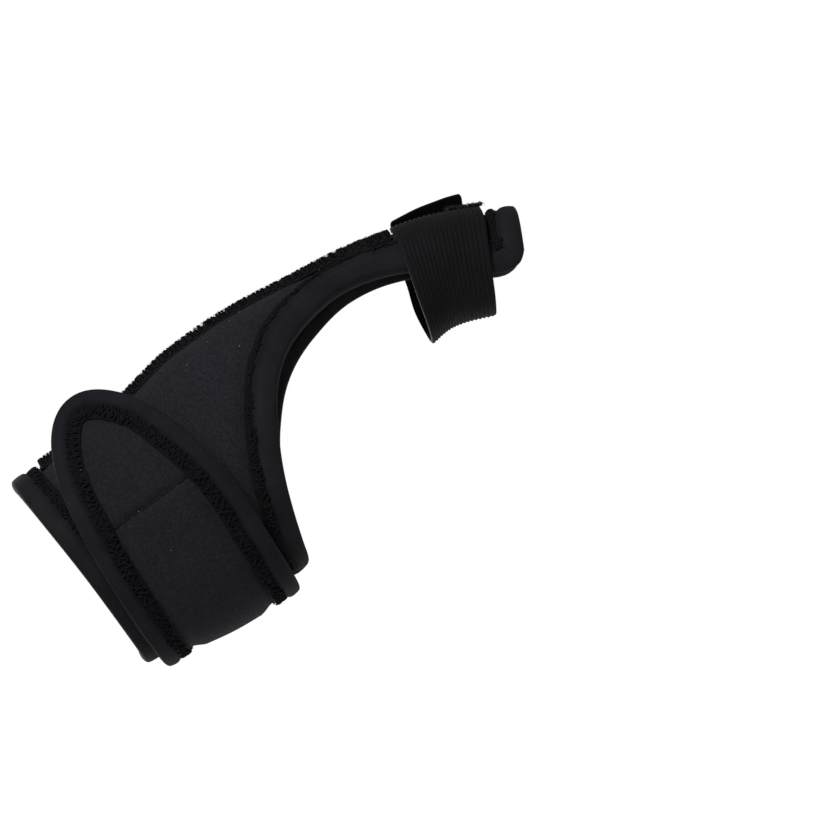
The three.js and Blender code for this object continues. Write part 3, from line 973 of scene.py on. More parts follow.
@dataclass
class EdgeTape:
    """Binding tape folded over a closed edge of cloth, with its zigzag stitching."""

    shop: Workshop
    name: str
    node: str
    surface: Surface
    edge: np.ndarray
    bottom: float
    top: float
    tape: Material
    thread: Material
    seed: int
    width: float = 8.8
    thickness: float = 0.9
    clearance: float = 0.4
    spacing: float = 0.9
    seam_reach: tuple[float, float] = (4.1, 8.2)
    stitch_step: float = 0.9
    slim_from: float = math.inf
    slim_run: float = 25
    slim_by: float = 1.7
    roll: float = 0.35
    sunk: float = 0.3
    valley_depth: float = 0.45
    valley_width: float = 0.75

    def slim(self, stations: np.ndarray) -> np.ndarray:
        """Gives how much narrower the sewn strip is at stations past a place along the limb."""
        share = np.clip((stations[:, 0] - self.slim_from) / self.slim_run, 0, 1)
        return self.slim_by * share * (2 - share)

    def ripple(self, count: int) -> tuple[np.ndarray, np.ndarray]:
        """Gives small unevenness of the tape's inner edge and of its surface at every station.

        Args:
            count: Number of stations.

        Returns:
            Offsets of the edge and of the surface, in millimetres.
        """
        slow = smooth_noise((count,), (max(count // 14, 4),), self.seed, wrap=True)
        fast = smooth_noise((count,), (max(count // 3, 4),), self.seed + 1, wrap=True)
        return 0.3 * slow + 0.12 * fast, 0.1 * fast

    def build(self) -> list[Piece]:
        """Makes the tape and its stitching.

        Returns:
            The tape and the stitching pieces.
        """
        stations = evenly(self.edge, self.surface, self.spacing)
        count = len(stations)
        edge_shift, bump = self.ripple(count)
        profile = self.profile()
        rings = np.empty((count, len(profile), 3))
        uvs = np.empty((count, len(profile), 2))
        length = arc_lengths(self.surface.place(stations[:, 0], stations[:, 1], np.zeros(count)))
        run = 0.0
        for k, (reach, height, side) in enumerate(profile):
            near_seam = max(0.0, min(1.0, (reach - 2.0) / 2.0))
            spots = inwards(stations, self.surface, reach + edge_shift * near_seam)
            rise = side * (self.relief(reach) + 2.2 * bump * near_seam)
            rings[:, k] = self.surface.place(spots[:, 0], spots[:, 1], height + rise)
            if k:
                run += math.hypot(reach - profile[k - 1][0], height - profile[k - 1][1])
            uvs[:, k, 0] = length
            uvs[:, k, 1] = run + self.slim(stations)
        faces = MeshMaker.grid_faces(count, len(profile), closed=True)
        points = rings.reshape(-1, 3)
        if MeshMaker.volume(points, faces) < 0:
            faces = faces[:, ::-1]
        piece = MeshMaker.make(self.name, points, faces, uvs.reshape(-1, 2), self.tape)
        self.shop.keep(piece, "binding_tape", self.node)
        return [piece, self.sew(Fold.OUTER), self.sew(Fold.INNER)]

    def profile(self) -> list[tuple[float, float, int]]:
        """Gives the folded tape's section: reach in from the edge, height, and which face rises.

        Returns:
            Rows of reach, height and 1 for the outer face, -1 for the inner one or 0 for neither.
        """
        lip = self.clearance + self.thickness
        middle, half = (self.top + self.bottom) / 2, (self.top - self.bottom) / 2 + lip
        outer = [(r, self.top + lip, 1) for r in np.linspace(self.width, 0.2, 15)]
        turns = [a * DEGREE for a in np.linspace(80, -80, 9)]
        fold = [(-lip * math.cos(a), middle + half * math.sin(a), 0) for a in turns]
        inner = [(r, self.bottom - lip, -1) for r in np.linspace(0.2, self.width, 11)]
        inside = (self.width, self.width * 0.5, 0.1)
        below = [(r, self.bottom - 0.12, 0) for r in inside]
        above = [(r, self.top + 0.12, 0) for r in inside[::-1]]
        return outer + fold + inner + below + above

    def relief(self, reach: float) -> float:
        """Gives how far the tape's face stands up: full at its roll, sunk where it is sewn.

        Args:
            reach: Distance in from the edge, in millimetres.

        Returns:
            The height in millimetres, less than 0 where it is sunk.
        """
        first = self.seam_reach[0]
        roll = self.roll * math.sin(math.pi * min(max(reach / first, 0), 1)) ** 0.8
        valleys = sum(math.exp(-(((reach - at) / self.valley_width) ** 2)) for at in self.seam_reach)
        sewn = max(0.0, min(1.0, reach - first + 0.5))
        return roll - self.sunk * sewn - self.valley_depth * valleys

    def sew(self, leg: Fold) -> Piece:
        """Sews one leg of the tape: two rows of short zigzag outside, one row inside.

        Args:
            leg: The leg to sew.

        Returns:
            The rows as one piece.
        """
        stations = evenly(self.edge, self.surface, self.stitch_step)
        count = len(stations) // 2 * 2
        at = np.arange(count) + np.random.default_rng(self.seed + 3).uniform(-0.65, 0.65, count)
        stations = np.stack([np.interp(at, np.arange(count), stations[:count, i]) for i in (0, 1)], axis=1)
        low, high = self.seam_reach[0] + 0.4 + self.slim(stations), self.seam_reach[1] - 0.4
        middle = (low + high) / 2 if leg is Fold.OUTER else high
        rng = np.random.default_rng(self.seed + 7)
        odd = np.arange(count) % 2
        reach = np.where(odd == 0, low, middle + 0.3) + rng.uniform(-0.5, 0.5, count)
        lift = self.clearance + self.thickness - 0.42
        height = self.top + lift if leg is Fold.OUTER else self.bottom - lift
        points = self.lay(stations, reach, height)
        ups = self.ups(stations, reach) * leg.value
        rows = [(points, np.roll(points, -1, axis=0))]
        if leg is Fold.OUTER:
            reach = np.where(odd == 0, high, middle - 0.3) + rng.uniform(-0.5, 0.5, count)
            crossing = self.lay(stations, reach, height + 0.1)
            rows.append((crossing, np.roll(crossing, -1, axis=0)))
        made = []
        for number, (a, b) in enumerate(rows):
            name = f"{self.name}_{leg.name.lower()}_thread_{number + 1}"
            thread = Thread(0.3, 0.28, self.seed + number)
            made.append(self.shop.sew(name, np.stack([a, b], axis=1), ups, self.thread, thread))
        return self.shop.keep(join_pieces(made, f"{self.name}_{leg.name.lower()}_stitches"), "binding_tape")

    def lay(self, stations: np.ndarray, reach: np.ndarray, height: float) -> np.ndarray:
        """Gives points on the tape at a height and a reach in from the edge."""
        spots = inwards(stations, self.surface, reach)
        return self.surface.place(spots[:, 0], spots[:, 1], np.full(len(spots), height))

    def ups(self, stations: np.ndarray, reach: np.ndarray) -> np.ndarray:
        """Gives the directions off the tape at a reach in from the edge."""
        return unit(self.lay(stations, reach, 2.0) - self.lay(stations, reach, 0.0))


def join_pieces(pieces: list[Piece], name: str) -> Piece:
    """Joins several meshes into the first and gives it a name.

    Args:
        pieces: The meshes.
        name: The name of the joined piece.

    Returns:
        The joined piece.
    """
    if len(pieces) > 1:
        with bpy.context.temp_override(active_object=pieces[0], selected_editable_objects=pieces):
            bpy.ops.object.join()
    pieces[0].name = name
    pieces[0].data.name = name
    return pieces[0]


@dataclass
class Wrap:
    """The neoprene wrap: from the forearm edge up the thumb side of the hand to the thumb's end."""

    shop: Workshop
    wall: float = 3.0
    forearm_dip: float = 5
    rows: int = 230
    columns: int = 190
    cut: tuple = (
        # along, back, palm
        (0.0, 184, -124),
        (0.018, 197, -136),
        (0.063, 206, -145),
        (0.167, 208, -147),
        (0.27, 205, -145),
        (0.323, 196, -137),
        (0.345, 176, -128),
        (0.364, 145, -119),
        (0.397, 118, -107),
        (0.443, 95, -91),
        (0.505, 74, -77),
        (0.59, 59, -66),
        (0.684, 54, -61),
        (0.782, 66, -70),
        (0.893, 96, -96),
        (0.96, 106, -106),
        (0.99, 100, -100),
        (1.0, 86, -86),
    )

    def outline(self, share: np.ndarray) -> np.ndarray:
        """Gives x, back angle and palm angle at shares of the way along the cut.

        Args:
            share: Shares of the way through the cut's rows, from 0 to 1.

        Returns:
            A row of three numbers for each share, on a smooth curve through the cut's rows.
        """
        table = np.array(self.cut, float)
        at = np.asarray(share) * (len(table) - 1)
        i = np.clip(np.floor(at).astype(int), 0, len(table) - 2)
        t = (at - i)[:, None]
        p, q, r, s = (table[np.clip(i + k, 0, len(table) - 1)] for k in (-1, 0, 1, 2))
        smooth = 0.5 * (
            2 * q + (r - p) * t + (2 * p - 5 * q + 4 * r - s) * t**2 + (3 * q - p - 3 * r + s) * t**3
        )
        smooth[:, 0] = self.shop.limb.start + smooth[:, 0] * self.shop.limb.length
        return smooth

    def dip(self, x: np.ndarray, angle: np.ndarray) -> np.ndarray:
        """Gives how far the cloth near the forearm edge is drawn in over the back of the wrist.

        Args:
            x: Places along the arm, in millimetres.
            angle: Angles round it, in degrees.

        Returns:
            Millimetres towards the hand for each place.
        """
        fade = np.maximum(1 - (x - self.shop.limb.start) / (0.25 * self.shop.limb.length), 0)
        end = max(row[1] for row in self.cut)
        back = np.where((angle > 0) & (angle < end), np.sin(np.pi * np.clip(angle / end, 0, 1)) ** 1.2, 0)
        return self.forearm_dip * back * fade * fade

    def edge(self) -> np.ndarray:
        """Gives the whole edge of the wrap as places, clockwise as seen from outside.

        Returns:
            Rows of x and angle.
        """
        rows = self.outline(np.linspace(0, 1, 400))
        first, last = rows[0], rows[-1]
        across = np.linspace(0, 1, 60)[1:-1]
        end = np.stack([np.full(58, last[0]), last[1] + (last[2] - last[1]) * across], axis=1)
        start = np.stack([np.full(58, first[0]), first[2] + (first[1] - first[2]) * across], axis=1)
        places = np.concatenate([rows[:, [0, 1]], end, rows[::-1][:, [0, 2]], start])
        places[:, 0] += self.dip(places[:, 0], places[:, 1])
        return places

    def build(self) -> list[Piece]:
        """Makes the wrap's cloth and its bound edge.

        Returns:
            Every piece made.
        """
        limb = self.shop.limb
        fine = np.linspace(0, 1, 1200)
        track = self.outline(fine)
        reach = arc_lengths(limb.place(track[:, 0], track[:, 1], np.zeros(len(track))))
        shares = np.interp(np.linspace(0, reach[-1], self.rows), reach, fine)
        outline = self.outline(shares)
        across = np.linspace(0, 1, self.columns)
        x = np.repeat(outline[:, :1], self.columns, axis=1)
        angle = outline[:, 2:3] + (outline[:, 1:2] - outline[:, 2:3]) * across
        x = x + self.dip(x, angle)
        skin = limb.skin(x, angle)
        sides = np.linalg.norm(np.diff(skin, axis=1), axis=2)
        v = np.concatenate([np.zeros((self.rows, 1)), np.cumsum(sides, axis=1)], axis=1)
        zero = np.array([np.interp(0, angle[i], v[i]) for i in range(self.rows)])
        uvs = np.stack([x, v - zero[:, None]], axis=-1)
        full = swell(self.edge(), limb, 0, skin, 4.5)
        soft = 0.12 * smooth_noise((self.rows, self.columns), (16, 14), 5)
        lower = limb.place(x, angle, 0.1 - 0.1 * full)
        upper = limb.place(x, angle, self.wall - 0.15 + 0.8 * full + soft)
        panel = MeshMaker.sheet(
            "wrap_panel", lower, upper, uvs, [self.shop.finishes.wrap, self.shop.finishes.lining]
        )
        self.shop.keep(panel, "neoprene_cloth", "wrap")
        tape = EdgeTape(
            shop=self.shop,
            name="wrap_edge_tape",
            node="wrap_binding",
            surface=limb,
            edge=self.edge(),
            bottom=0,
            top=self.wall,
            tape=self.shop.finishes.wrap_tape,
            thread=self.shop.finishes.thread,
            seed=11,
            seam_reach=(4.9, 8.2),
            slim_from=38,
        )
        return [panel, *tape.build()]


def swell(
    edge: np.ndarray, surface: Surface, height: float, skin: np.ndarray, run: float, flat: float = 8.6
) -> np.ndarray:
    """Gives how far the foam stands up at each point: pinched by the seam near its edge, full inside.

    Args:
        edge: The edge as places.
        surface: The surface that the places lie on.
        height: Height of the edge off the limb in millimetres.
        skin: Points of the cloth at that height.
        run: Length in millimetres over which the foam grows full.
        flat: Width in millimetres that the binding holds flat along the edge.

    Returns:
        A share from 0 to 1 for every point.
    """
    edge = evenly(edge, surface, 1.0)
    points = surface.place(edge[:, 0], edge[:, 1], np.full(len(edge), height))
    tree = KDTree(len(points))
    for i, point in enumerate(points):
        tree.insert(point, i)
    tree.balance()
    far = np.array([tree.find(point)[2] for point in skin.reshape(-1, 3)])
    inside = np.clip((far - flat) / run, 0, 1).reshape(skin.shape[:2])
    return inside * inside * (3 - 2 * inside)


@dataclass
class WristStrap:
    """The rounded strap that closes round the wrist, its bound edge and cross seam."""

    shop: Workshop
    width: float = 46.5
    wall: float = 2.0
    bottom: float = 6.0
    root: float = 250
    free_end: float = 22.2
    taper: float = 57
    root_round: float = 24
    rows: int = 220
    columns: int = 60
    cross_seam: float = 82
    cross_stitches: int = 20
    cross_half: float = 14.2
    cross_middle: float = 2.7
    course: tuple = (
        # angle, shift
        (-30, -0.02),
        (15, 0.002),
        (50, 0.04),
        (75, 0.058),
        (100, 0.052),
        (140, 0.008),
        (180, -0.032),
        (250, -0.042),
    )

    def __post_init__(self) -> None:
        """Sets the strap's surface and the angle of its tip."""
        self.surface = StrapCourse(self.shop.limb)
        self.tip = self.surface.lift - self.free_end / self.shop.limb.wrist_half_width / DEGREE

    def tip_distance(self, angle: np.ndarray) -> np.ndarray:
        """Gives the length of strap from its tip to angles round the wrist."""
        return (angle - self.tip) * DEGREE * self.shop.limb.wrist_half_width

    def middle_and_half(self, angle: np.ndarray) -> tuple[np.ndarray, np.ndarray]:
        """Gives the strap's middle and half width.

        Args:
            angle: Angles round the wrist, in degrees.

        Returns:
            The middle's place along the arm and the half width for each angle, in millimetres.
        """
        middle = column(np.array(self.course, float), 1, angle) * self.width
        from_tip = np.minimum(self.tip_distance(angle) / self.taper, 1)
        from_root = np.minimum((self.root - angle) / self.root_round, 1)
        tip = np.sqrt(np.maximum(1 - (1 - from_tip) ** 1.9, 0))
        root = 1 - 0.5 * (1 - from_root) ** 2.2
        return middle, self.width / 2 * tip * root

    def edge(self) -> np.ndarray:
        """Gives the strap's whole edge as places, clockwise as seen from outside.

        Returns:
            Rows of x and angle.
        """
        share = np.linspace(0, 1, 500)
        angle = self.root + (self.tip + 0.05 - self.root) * (1 - (1 - share) ** 1.5)
        middle, half = self.middle_and_half(angle)
        right = np.stack([middle + half, angle], axis=1)
        left = np.stack([middle - half, angle], axis=1)[::-1]
        across = np.linspace(-1, 1, 20)[1:-1]
        end = np.stack([middle[0] + half[0] * across, np.full(18, self.root)], axis=1)
        return np.concatenate([right, left, end])

    def build(self) -> list[Piece]:
        """Makes the strap, its tape and seams.

        Returns:
            Every piece made.
        """
        share = np.linspace(0, 1, 2000)
        angle = self.root + (self.tip + 0.15 - self.root) * share
        middle, half = self.middle_and_half(angle)
        reach = arc_lengths(self.surface.place(middle + half, angle, np.full(len(angle), self.bottom)))
        angle = np.interp(np.linspace(0, reach[-1], self.rows), reach, angle)
        middle, half = self.middle_and_half(angle)
        across = np.linspace(-1, 1, self.columns)
        x = middle[:, None] + half[:, None] * across
        angles = np.repeat(angle[:, None], self.columns, axis=1)
        run = arc_lengths(self.surface.place(middle, angle, np.full(len(angle), self.bottom)))
        uvs = np.stack([x, np.repeat(run[:, None], self.columns, axis=1)], axis=-1)
        lower = self.surface.place(x, angles, np.full(x.shape, self.bottom))
        full = swell(self.edge(), self.surface, self.bottom, lower, 5.5)
        pucker = 0.35 * np.sin(x * 1.9) * np.exp(-(((angles - self.cross_seam) / 4.5) ** 2))
        dent = np.exp(-np.abs((angles - self.cross_seam) / 2.2) ** 1.4) + 0.25 * pucker
        soft = 0.1 * smooth_noise((self.rows, self.columns), (16, 6), 21)
        rise = 1.4 * full + soft - 1.5 * dent * (0.4 + 0.6 * full) - 0.1
        upper = self.surface.place(x, angles, self.bottom + self.wall + rise)
        finishes = self.shop.finishes
        panel = MeshMaker.sheet("strap_panel", lower, upper, uvs, [finishes.strap, finishes.lining])
        self.shop.keep(panel, "neoprene_cloth", "wrist_strap")
        tape = EdgeTape(
            shop=self.shop,
            name="strap_edge_tape",
            node="strap_binding",
            surface=self.surface,
            edge=self.edge(),
            bottom=self.bottom,
            top=self.bottom + self.wall,
            tape=finishes.strap_tape,
            thread=finishes.strap_thread,
            seed=31,
        )
        return [panel, *tape.build(), self.sew_across()]

    def sew_across(self) -> Piece:
        """Sews the row of stitches across the strap's panel.

        Returns:
            The row of stitches.
        """
        count = self.cross_stitches
        x = np.linspace(-self.cross_half, self.cross_half, count) + self.cross_middle
        angle = self.cross_seam + np.where(np.arange(count) % 2 == 0, -0.3, 0.3)
        height = np.full(count, self.bottom + self.wall - 0.25)
        points = self.surface.place(x, angle, height)
        ends = np.stack([points[:-1], points[1:]], axis=1)
        ups = unit(self.surface.place(x, angle, height + 1) - points)[:-1]
        material = self.shop.finishes.strap_thread
        row = self.shop.sew("strap_cross_stitches", ends, ups, material, Thread(0.14, 0.1, 41))
        return self.shop.keep(row, "binding_tape")


@dataclass
class HookPatch:
    """The hook tape that holds the strap's end to the wrap."""

    shop: Workshop
    first: float = 51
    last: float = 92
    half_width: float = 7
    middle: float = 1.5
    bottom: float = 3.2
    top: float = 5.7
    degree_length: float = 0.62

    def build(self) -> list[Piece]:
        """Makes the tape.

        Returns:
            The hook tape.
        """
        x, angle = np.meshgrid(
            self.middle + np.linspace(-self.half_width, self.half_width, 30),
            np.linspace(self.first, self.last, 40),
            indexing="ij",
        )
        limb = self.shop.limb
        uvs = np.stack([x, angle * self.degree_length], axis=-1)
        lower = limb.place(x, angle, np.full(x.shape, self.bottom))
        upper = limb.place(x, angle, np.full(x.shape, self.top))
        patch = MeshMaker.sheet("strap_hook_patch", lower, upper, uvs, [self.shop.finishes.hook])
        self.shop.keep(patch, "hook_tape", "hook_patch")
        return [patch]


@dataclass
class ThumbSeam:
    """The tape over the seam along the thumb side, with its raised overlocked ridge."""

    shop: Workshop
    width: float = 10.6
    bottom: float = 3.1
    thickness: float = 1.0
    first: float = -21.2
    last: float = 106
    shift: float = 1.8
    ridge: float = 1.4
    ridge_half: float = 2.2
    bump_step: float = 2.6
    overlock_step: float = 1.15
    stitch_step: float = 1.3

    def build(self) -> list[Piece]:
        """Makes the tape, its overlock threads and its fuzz.

        Returns:
            Every piece made.
        """
        limb = self.shop.limb
        finishes = self.shop.finishes
        rows, columns = 180, 34
        line = np.linspace(self.first, self.last, rows)
        scale = np.linalg.norm(limb.directions(line, np.zeros(rows))[1], axis=1)
        across = np.linspace(-self.width / 2, self.width / 2, columns)
        x = np.repeat(line[:, None], columns, axis=1)
        angle = (self.shift + across[None, :]) / scale[:, None]
        uneven = smooth_noise((rows,), (46,), 51)
        bumps = 0.16 * np.sin(line * 2 * math.pi / self.bump_step) + 0.4 * uneven
        arch = np.clip(1 - (across / self.ridge_half) ** 2, 0, 1) ** 0.6
        height = self.bottom + self.thickness + arch[None, :] * (self.ridge + bumps[:, None])
        lower = limb.place(x, angle, np.full(x.shape, self.bottom))
        upper = limb.place(x, angle, height)
        uvs = np.stack([x, np.repeat(across[None, :], rows, axis=0)], axis=-1)
        tape = MeshMaker.sheet("thumb_seam_tape", lower, upper, uvs, [finishes.seam_tape])
        self.shop.keep(tape, "binding_tape", "seam_tape")
        return [tape, self.overlock(), self.edge_rows(), self.grow_fuzz()]

    def on_ridge(self, x: np.ndarray, across: np.ndarray, extra: float) -> np.ndarray:
        """Gives points over the ridge.

        Args:
            x: Places along the arm, in millimetres.
            across: Distances across the ridge, in millimetres.
            extra: How far the points stand over the ridge.

        Returns:
            A point for every place.
        """
        scale = np.linalg.norm(self.shop.limb.directions(x, np.zeros(len(x)))[1], axis=1)
        arch = np.clip(1 - (across / self.ridge_half) ** 2, 0, 1) ** 0.6
        height = self.bottom + self.thickness + arch * self.ridge + extra
        return self.shop.limb.place(x, (self.shift + across) / scale, height)

    def overlock(self) -> Piece:
        """Wraps threads over the ridge, slanting a little each way.

        Returns:
            The threads as one piece.
        """
        count = int((self.last - self.first) / self.overlock_step)
        rng = np.random.default_rng(61)
        x = np.linspace(self.first + 1, self.last - 1, count) + rng.uniform(-0.6, 0.6, count)
        inside = self.on_ridge(x, np.zeros(count), -6.0)
        material = self.shop.finishes.overlock
        made = []
        for number, (a, b) in enumerate(((-2.3, -0.9), (-0.9, 0.9), (0.9, 2.3))):
            lean = 0.35 * (number - 1) + rng.uniform(-0.3, 0.3, count)
            start = self.on_ridge(x + lean, np.full(count, a), 0.12)
            end = self.on_ridge(x + lean + 0.35, np.full(count, b), 0.12)
            ups = unit(self.on_ridge(x, np.full(count, (a + b) / 2), 1.0) - inside)
            ends = np.stack([start, end], axis=1)
            thread = Thread(0.27, 0.22, 62 + number)
            made.append(self.shop.sew(f"overlock_{number + 1}", ends, ups, material, thread))
        return self.shop.keep(join_pieces(made, "thumb_seam_overlock"), "binding_tape")

    def edge_rows(self) -> Piece:
        """Sews a row of zigzag along both edges of the tape.

        Returns:
            Both rows as one piece.
        """
        made = []
        for number, side in enumerate((-1, 1)):
            count = int((self.last - self.first) / self.stitch_step)
            x = np.linspace(self.first + 0.5, self.last - 0.5, count)
            across = side * np.where(np.arange(count) % 2 == 0, 3.2, 5.0)
            points = self.on_ridge(x, across, 0.1)
            ends = np.stack([points[:-1], points[1:]], axis=1)
            ups = self.shop.limb.directions(x, np.zeros(count))[2][:-1]
            name, thread = f"seam_zigzag_{number + 1}", Thread(0.22, 0.2, 71 + number)
            made.append(self.shop.sew(name, ends, ups, self.shop.finishes.thread, thread))
        return self.shop.keep(join_pieces(made, "thumb_seam_stitches"), "binding_tape")

    def grow_fuzz(self) -> Piece:
        """Grows short loose fibres along the ridge.

        Returns:
            The fibres as one piece.
        """
        x = np.linspace(self.first + 1, self.last - 1, 140)
        rows = [self.on_ridge(x, np.full(len(x), a), 0.05) for a in (-1.5, 0.0, 1.5)]
        points = np.stack(rows, axis=1).reshape(-1, 3)
        faces = MeshMaker.grid_faces(len(x), len(rows))
        fibre = Fibre(4.0, 0.55, 0.045, 0.9, 73)
        fuzz = self.shop.fuzz("thumb_seam_fuzz", points, faces, self.shop.finishes.fuzz, fibre)
        return self.shop.keep(fuzz, "binding_tape")


@dataclass
class ThumbBand:
    """The ribbed elastic round the thumb and the free tab at its end."""

    shop: Workshop
    width: float = 26
    wall: float = 1.4
    bottom: float = 4.6
    start: float = -12
    end: float = 302
    right: float = 132.8
    ribs: int = 19
    tab_length: float = 15.2
    tab_width: float = 21
    tab_setback: float = 4.3
    tab_wall: float = 1.6

    def build(self) -> list[Piece]:
        """Makes the elastic, the tab and their pile.

        Returns:
            Every piece made.
        """
        limb = self.shop.limb
        finishes = self.shop.finishes
        rows, columns = 190, self.ribs * 8 + 1
        across = np.linspace(0, 1, columns)
        turn = np.linspace(self.start, self.end, rows)
        sway = 0.35 * smooth_noise((rows,), (12,), 81)
        x = self.right - self.width * (1 - across[None, :]) + sway[:, None]
        angle = np.repeat(turn[:, None], columns, axis=1)
        rib = 0.5 - 0.5 * np.cos(across * self.ribs * 2 * math.pi)
        selvedge = np.clip(np.minimum(across, 1 - across) * self.width / 1.2, 0, 1)
        uneven = 1 + 0.25 * smooth_noise((rows, columns), (60, 24), 82)
        relief = (0.34 * rib[None, :] ** 0.8 * uneven) * (0.35 + 0.65 * selvedge)
        lower = limb.place(x, angle, self.bottom + 0.1 * rib[None, :] + np.zeros_like(x))
        upper = limb.place(x, angle, self.bottom + self.wall - 0.2 + relief)
        along = np.repeat(across[None, :] * self.width, rows, axis=0)
        run = np.repeat(0.33 * np.arange(1, rows + 1)[:, None], columns, axis=1)
        uvs = np.stack([along, run], axis=-1)
        band = MeshMaker.sheet("thumb_elastic", lower, upper, uvs, [finishes.elastic])
        self.shop.keep(band, "elastic", "thumb_band")
        return [band, *self.build_tab(), self.grow_pile()]

    @property
    def tab_left(self) -> float:
        """Where the tab starts along the arm."""
        return self.right - self.tab_setback - self.tab_width

    def tab_place(self, x: np.ndarray, share: np.ndarray, height: np.ndarray) -> np.ndarray:
        """Gives points on the tab, which goes straight on from the band's end.

        Args:
            x: Places along the arm, in millimetres.
            share: Shares of the tab's length from the band's end.
            height: Heights off the limb, in millimetres.

        Returns:
            A point for every place.
        """
        limb = self.shop.limb
        _, around, out = limb.directions(x, np.full(x.shape, self.end))
        toward = (x - self.tab_left) / self.tab_width
        reach = self.tab_length * share * (0.86 + 0.14 * toward) + 0.4
        lift = 1.5 * share * share * toward
        base = limb.place(x, np.full(x.shape, self.end), height)
        return base + unit(around) * reach[..., None] + out * lift[..., None]

    def build_tab(self) -> list[Piece]:
        """Makes the tab with its rows of hooks.

        Returns:
            The tab.
        """
        rows, columns = 40, 60
        share, x = np.meshgrid(
            np.linspace(0, 1, rows), self.tab_left + np.linspace(0, self.tab_width, columns), indexing="ij"
        )
        aside = np.abs((x - self.tab_left) / self.tab_width * 2 - 1)
        share = share * (1 - 0.07 * np.clip((aside - 0.93) / 0.07, 0, 1) ** 2)
        bent = 0.25 * smooth_noise((rows, columns), (4, 6), 91)
        lower = self.tab_place(x, share, self.bottom + bent)
        upper = self.tab_place(x, share, self.bottom + self.tab_wall - 0.3 + bent)
        uvs = np.stack([x, share * self.tab_length], axis=-1)
        tab = MeshMaker.sheet("thumb_tab_tape", lower, upper, uvs, [self.shop.finishes.hook])
        self.shop.keep(tab, "hook_tape", "thumb_tab")
        return [tab]

    def grow_pile(self) -> Piece:
        """Grows the slate-coloured pile beside the tab, at the band's end towards the thumb's tip.

        Returns:
            The pile as one piece.
        """
        x, angle = np.meshgrid(np.linspace(self.right - 9.5, self.right + 0.6, 24), np.linspace(-14, 9, 18))
        height = self.bottom + self.wall + 0.2 + 0.55 * smooth_noise(x.shape, (5, 8), 95)
        points = self.shop.limb.place(x, angle, height).reshape(-1, 3)
        faces = MeshMaker.grid_faces(*x.shape)[:, ::-1]
        fibre = Fibre(17, 1.0, 0.06, 0.8, 93)
        pile = self.shop.fuzz("thumb_pile", points, faces, self.shop.finishes.pile, fibre)
        return self.shop.keep(pile, "elastic")


@dataclass
class Lint:
    """Specks of pale lint caught on the outside of the cloth."""

    shop: Workshop
    specks: int = 60
    seed: int = 101
    on_wrap: float = 3.7
    on_strap: float = 9.35
    strap_middle: float = 0.5
    tape_from_middle: float = 19
    tape_half: float = 7

    def build(self) -> list[Piece]:
        """Makes the specks.

        Returns:
            The specks as one piece.
        """
        rng = np.random.default_rng(self.seed)
        x = rng.uniform(-28, 95, self.specks)
        angle = rng.uniform(5, 195, self.specks)
        limb = self.shop.limb
        height = np.where((x > -13) & (x < 12), self.on_strap, self.on_wrap)
        keep = np.abs(np.abs(x - self.strap_middle) - self.tape_from_middle) > self.tape_half
        keep &= (x < 26) | (angle < 60)
        x, angle, height = x[keep], angle[keep], height[keep]
        points = limb.place(x, angle, height)
        turn = rng.uniform(0, 2 * math.pi, len(x))
        along, around, out = limb.directions(x, angle)
        aim = unit(along) * np.cos(turn)[:, None] + unit(around) * np.sin(turn)[:, None]
        size = rng.uniform(0.2, 0.6, len(x))[:, None]
        ends = np.stack([points - aim * size / 2, points + aim * size / 2], axis=1)
        thread = Thread(0.05, 0.05, self.seed)
        lint = self.shop.sew("lint_specks", ends, out, self.shop.finishes.lint, thread)
        return [self.shop.keep(lint, "neoprene_cloth")]


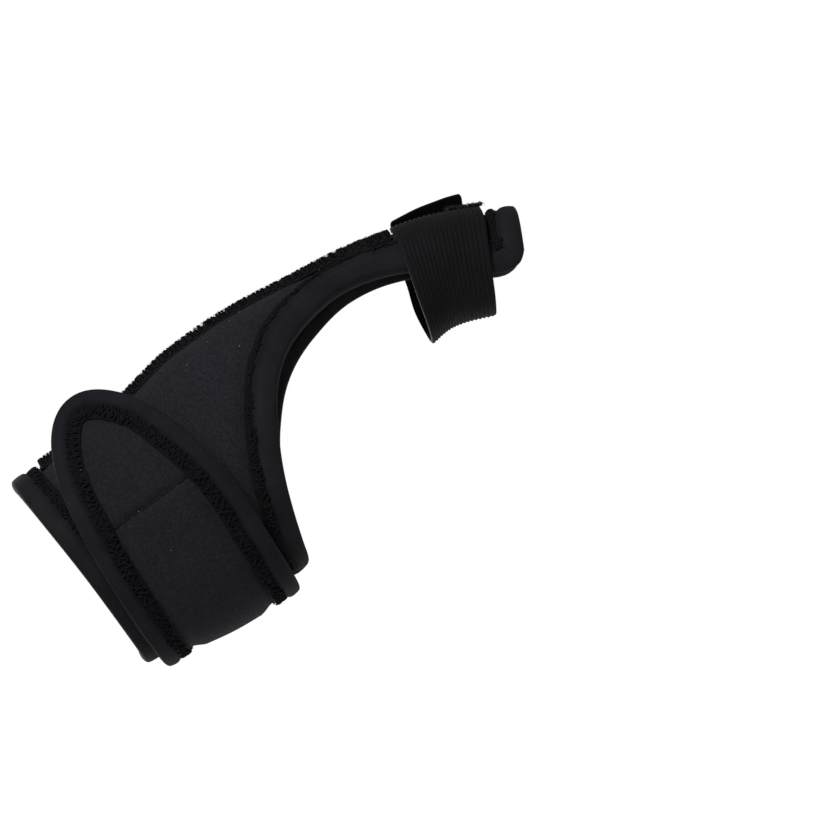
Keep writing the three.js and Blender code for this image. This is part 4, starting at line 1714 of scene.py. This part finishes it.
@dataclass(frozen=True)
class Studio:
    """A pale floor, soft light and a camera at the photograph's angle."""

    distance: float = 0.85
    frame_width: float = 0.2567
    across: float = 0.0842
    height: float = -0.0228
    depth: float = -0.02
    roll: float = 36

    def build(self) -> None:
        """Makes the floor, the world, the lights and the camera."""
        self.make_floor()
        self.make_world()
        self.make_light("key", (0.0, -0.75, 0.85), 0.45, 12.5)
        self.make_light("fill", (-0.4, -0.9, 0.3), 0.8, 0.8)
        self.make_light("palm", (-0.5, 0.9, 0.25), 0.8, 9)
        self.make_camera()
        view = bpy.context.scene.view_settings
        view.view_transform = "Standard"
        view.look = "None"

    def make_floor(self) -> None:
        """Makes the floor well below the splint."""
        s = Shader("floor_white")
        s.bsdf.inputs["Base Color"].default_value = (0.9, 0.9, 0.9, 1)
        s.bsdf.inputs["Roughness"].default_value = 0.9
        mesh = bpy.data.meshes.new("floor")
        corners = [(-2, -1.5, -0.4), (2, -1.5, -0.4), (2, 0.9, -0.4), (-2, 0.9, -0.4)]
        mesh.from_pydata(corners, [], [(0, 1, 2, 3)])
        mesh.materials.append(s.material)
        floor = bpy.data.objects.new("floor", mesh)
        bpy.context.scene.collection.objects.link(floor)

    def make_world(self) -> None:
        """Lights the scene evenly with white."""
        world = bpy.data.worlds.new("white_studio")
        world.use_nodes = True
        tree = world.node_tree
        soft = tree.nodes["Background"]
        soft.inputs["Color"].default_value = (1, 1, 1, 1)
        soft.inputs["Strength"].default_value = 0.22
        seen = tree.nodes.new("ShaderNodeBackground")
        seen.inputs["Color"].default_value = (1, 1, 1, 1)
        choice = tree.nodes.new("ShaderNodeMixShader")
        path = tree.nodes.new("ShaderNodeLightPath")
        tree.links.new(path.outputs["Is Camera Ray"], choice.inputs[0])
        tree.links.new(soft.outputs[0], choice.inputs[1])
        tree.links.new(seen.outputs[0], choice.inputs[2])
        tree.links.new(choice.outputs[0], tree.nodes["World Output"].inputs["Surface"])
        bpy.context.scene.world = world

    def make_light(self, name: str, place: tuple, size: float, power: float) -> None:
        """Adds a soft square light that faces the splint.

        Args:
            name: The light's name.
            place: Where it stands, in metres.
            size: Its width in metres.
            power: Its power in watts.
        """
        light = bpy.data.lights.new(name, "AREA")
        light.size = size
        light.energy = power
        lamp = bpy.data.objects.new(name, light)
        lamp.location = place
        away = np.array(place) - np.array((self.across / 2, 0, 0))
        lamp.rotation_euler = Vector(away).to_track_quat("Z", "Y").to_euler()
        bpy.context.scene.collection.objects.link(lamp)

    def make_camera(self) -> None:
        """Sets the camera square to the back of the hand, rolled so that the forearm rises to the right."""
        data = bpy.data.cameras.new("camera")
        data.sensor_width = 36
        data.lens = 36 * self.distance / self.frame_width
        data.clip_start, data.clip_end = 0.01, 20
        camera = bpy.data.objects.new("camera", data)
        c, s = math.cos(self.roll * DEGREE), math.sin(self.roll * DEGREE)
        turn = Matrix(((c, s, 0), (0, 0, -1), (-s, c, 0)))
        place = Matrix.Translation((self.across, self.depth - self.distance, self.height))
        camera.matrix_world = place @ turn.to_4x4()
        bpy.context.scene.collection.objects.link(camera)
        bpy.context.scene.camera = camera


def main() -> None:
    """Builds the splint piece by piece on its frame."""
    Studio().build()
    shop = Workshop()
    for kind in (Wrap, WristStrap, HookPatch, ThumbSeam, ThumbBand, Lint):
        made = kind(shop).build()
        log.info("%s: %d pieces", kind.__name__, len(made))
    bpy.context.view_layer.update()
    for piece in shop.pieces:
        log.info("%s: %d polygons", piece.name, len(piece.data.polygons))


if __name__ == "__main__":
    main()
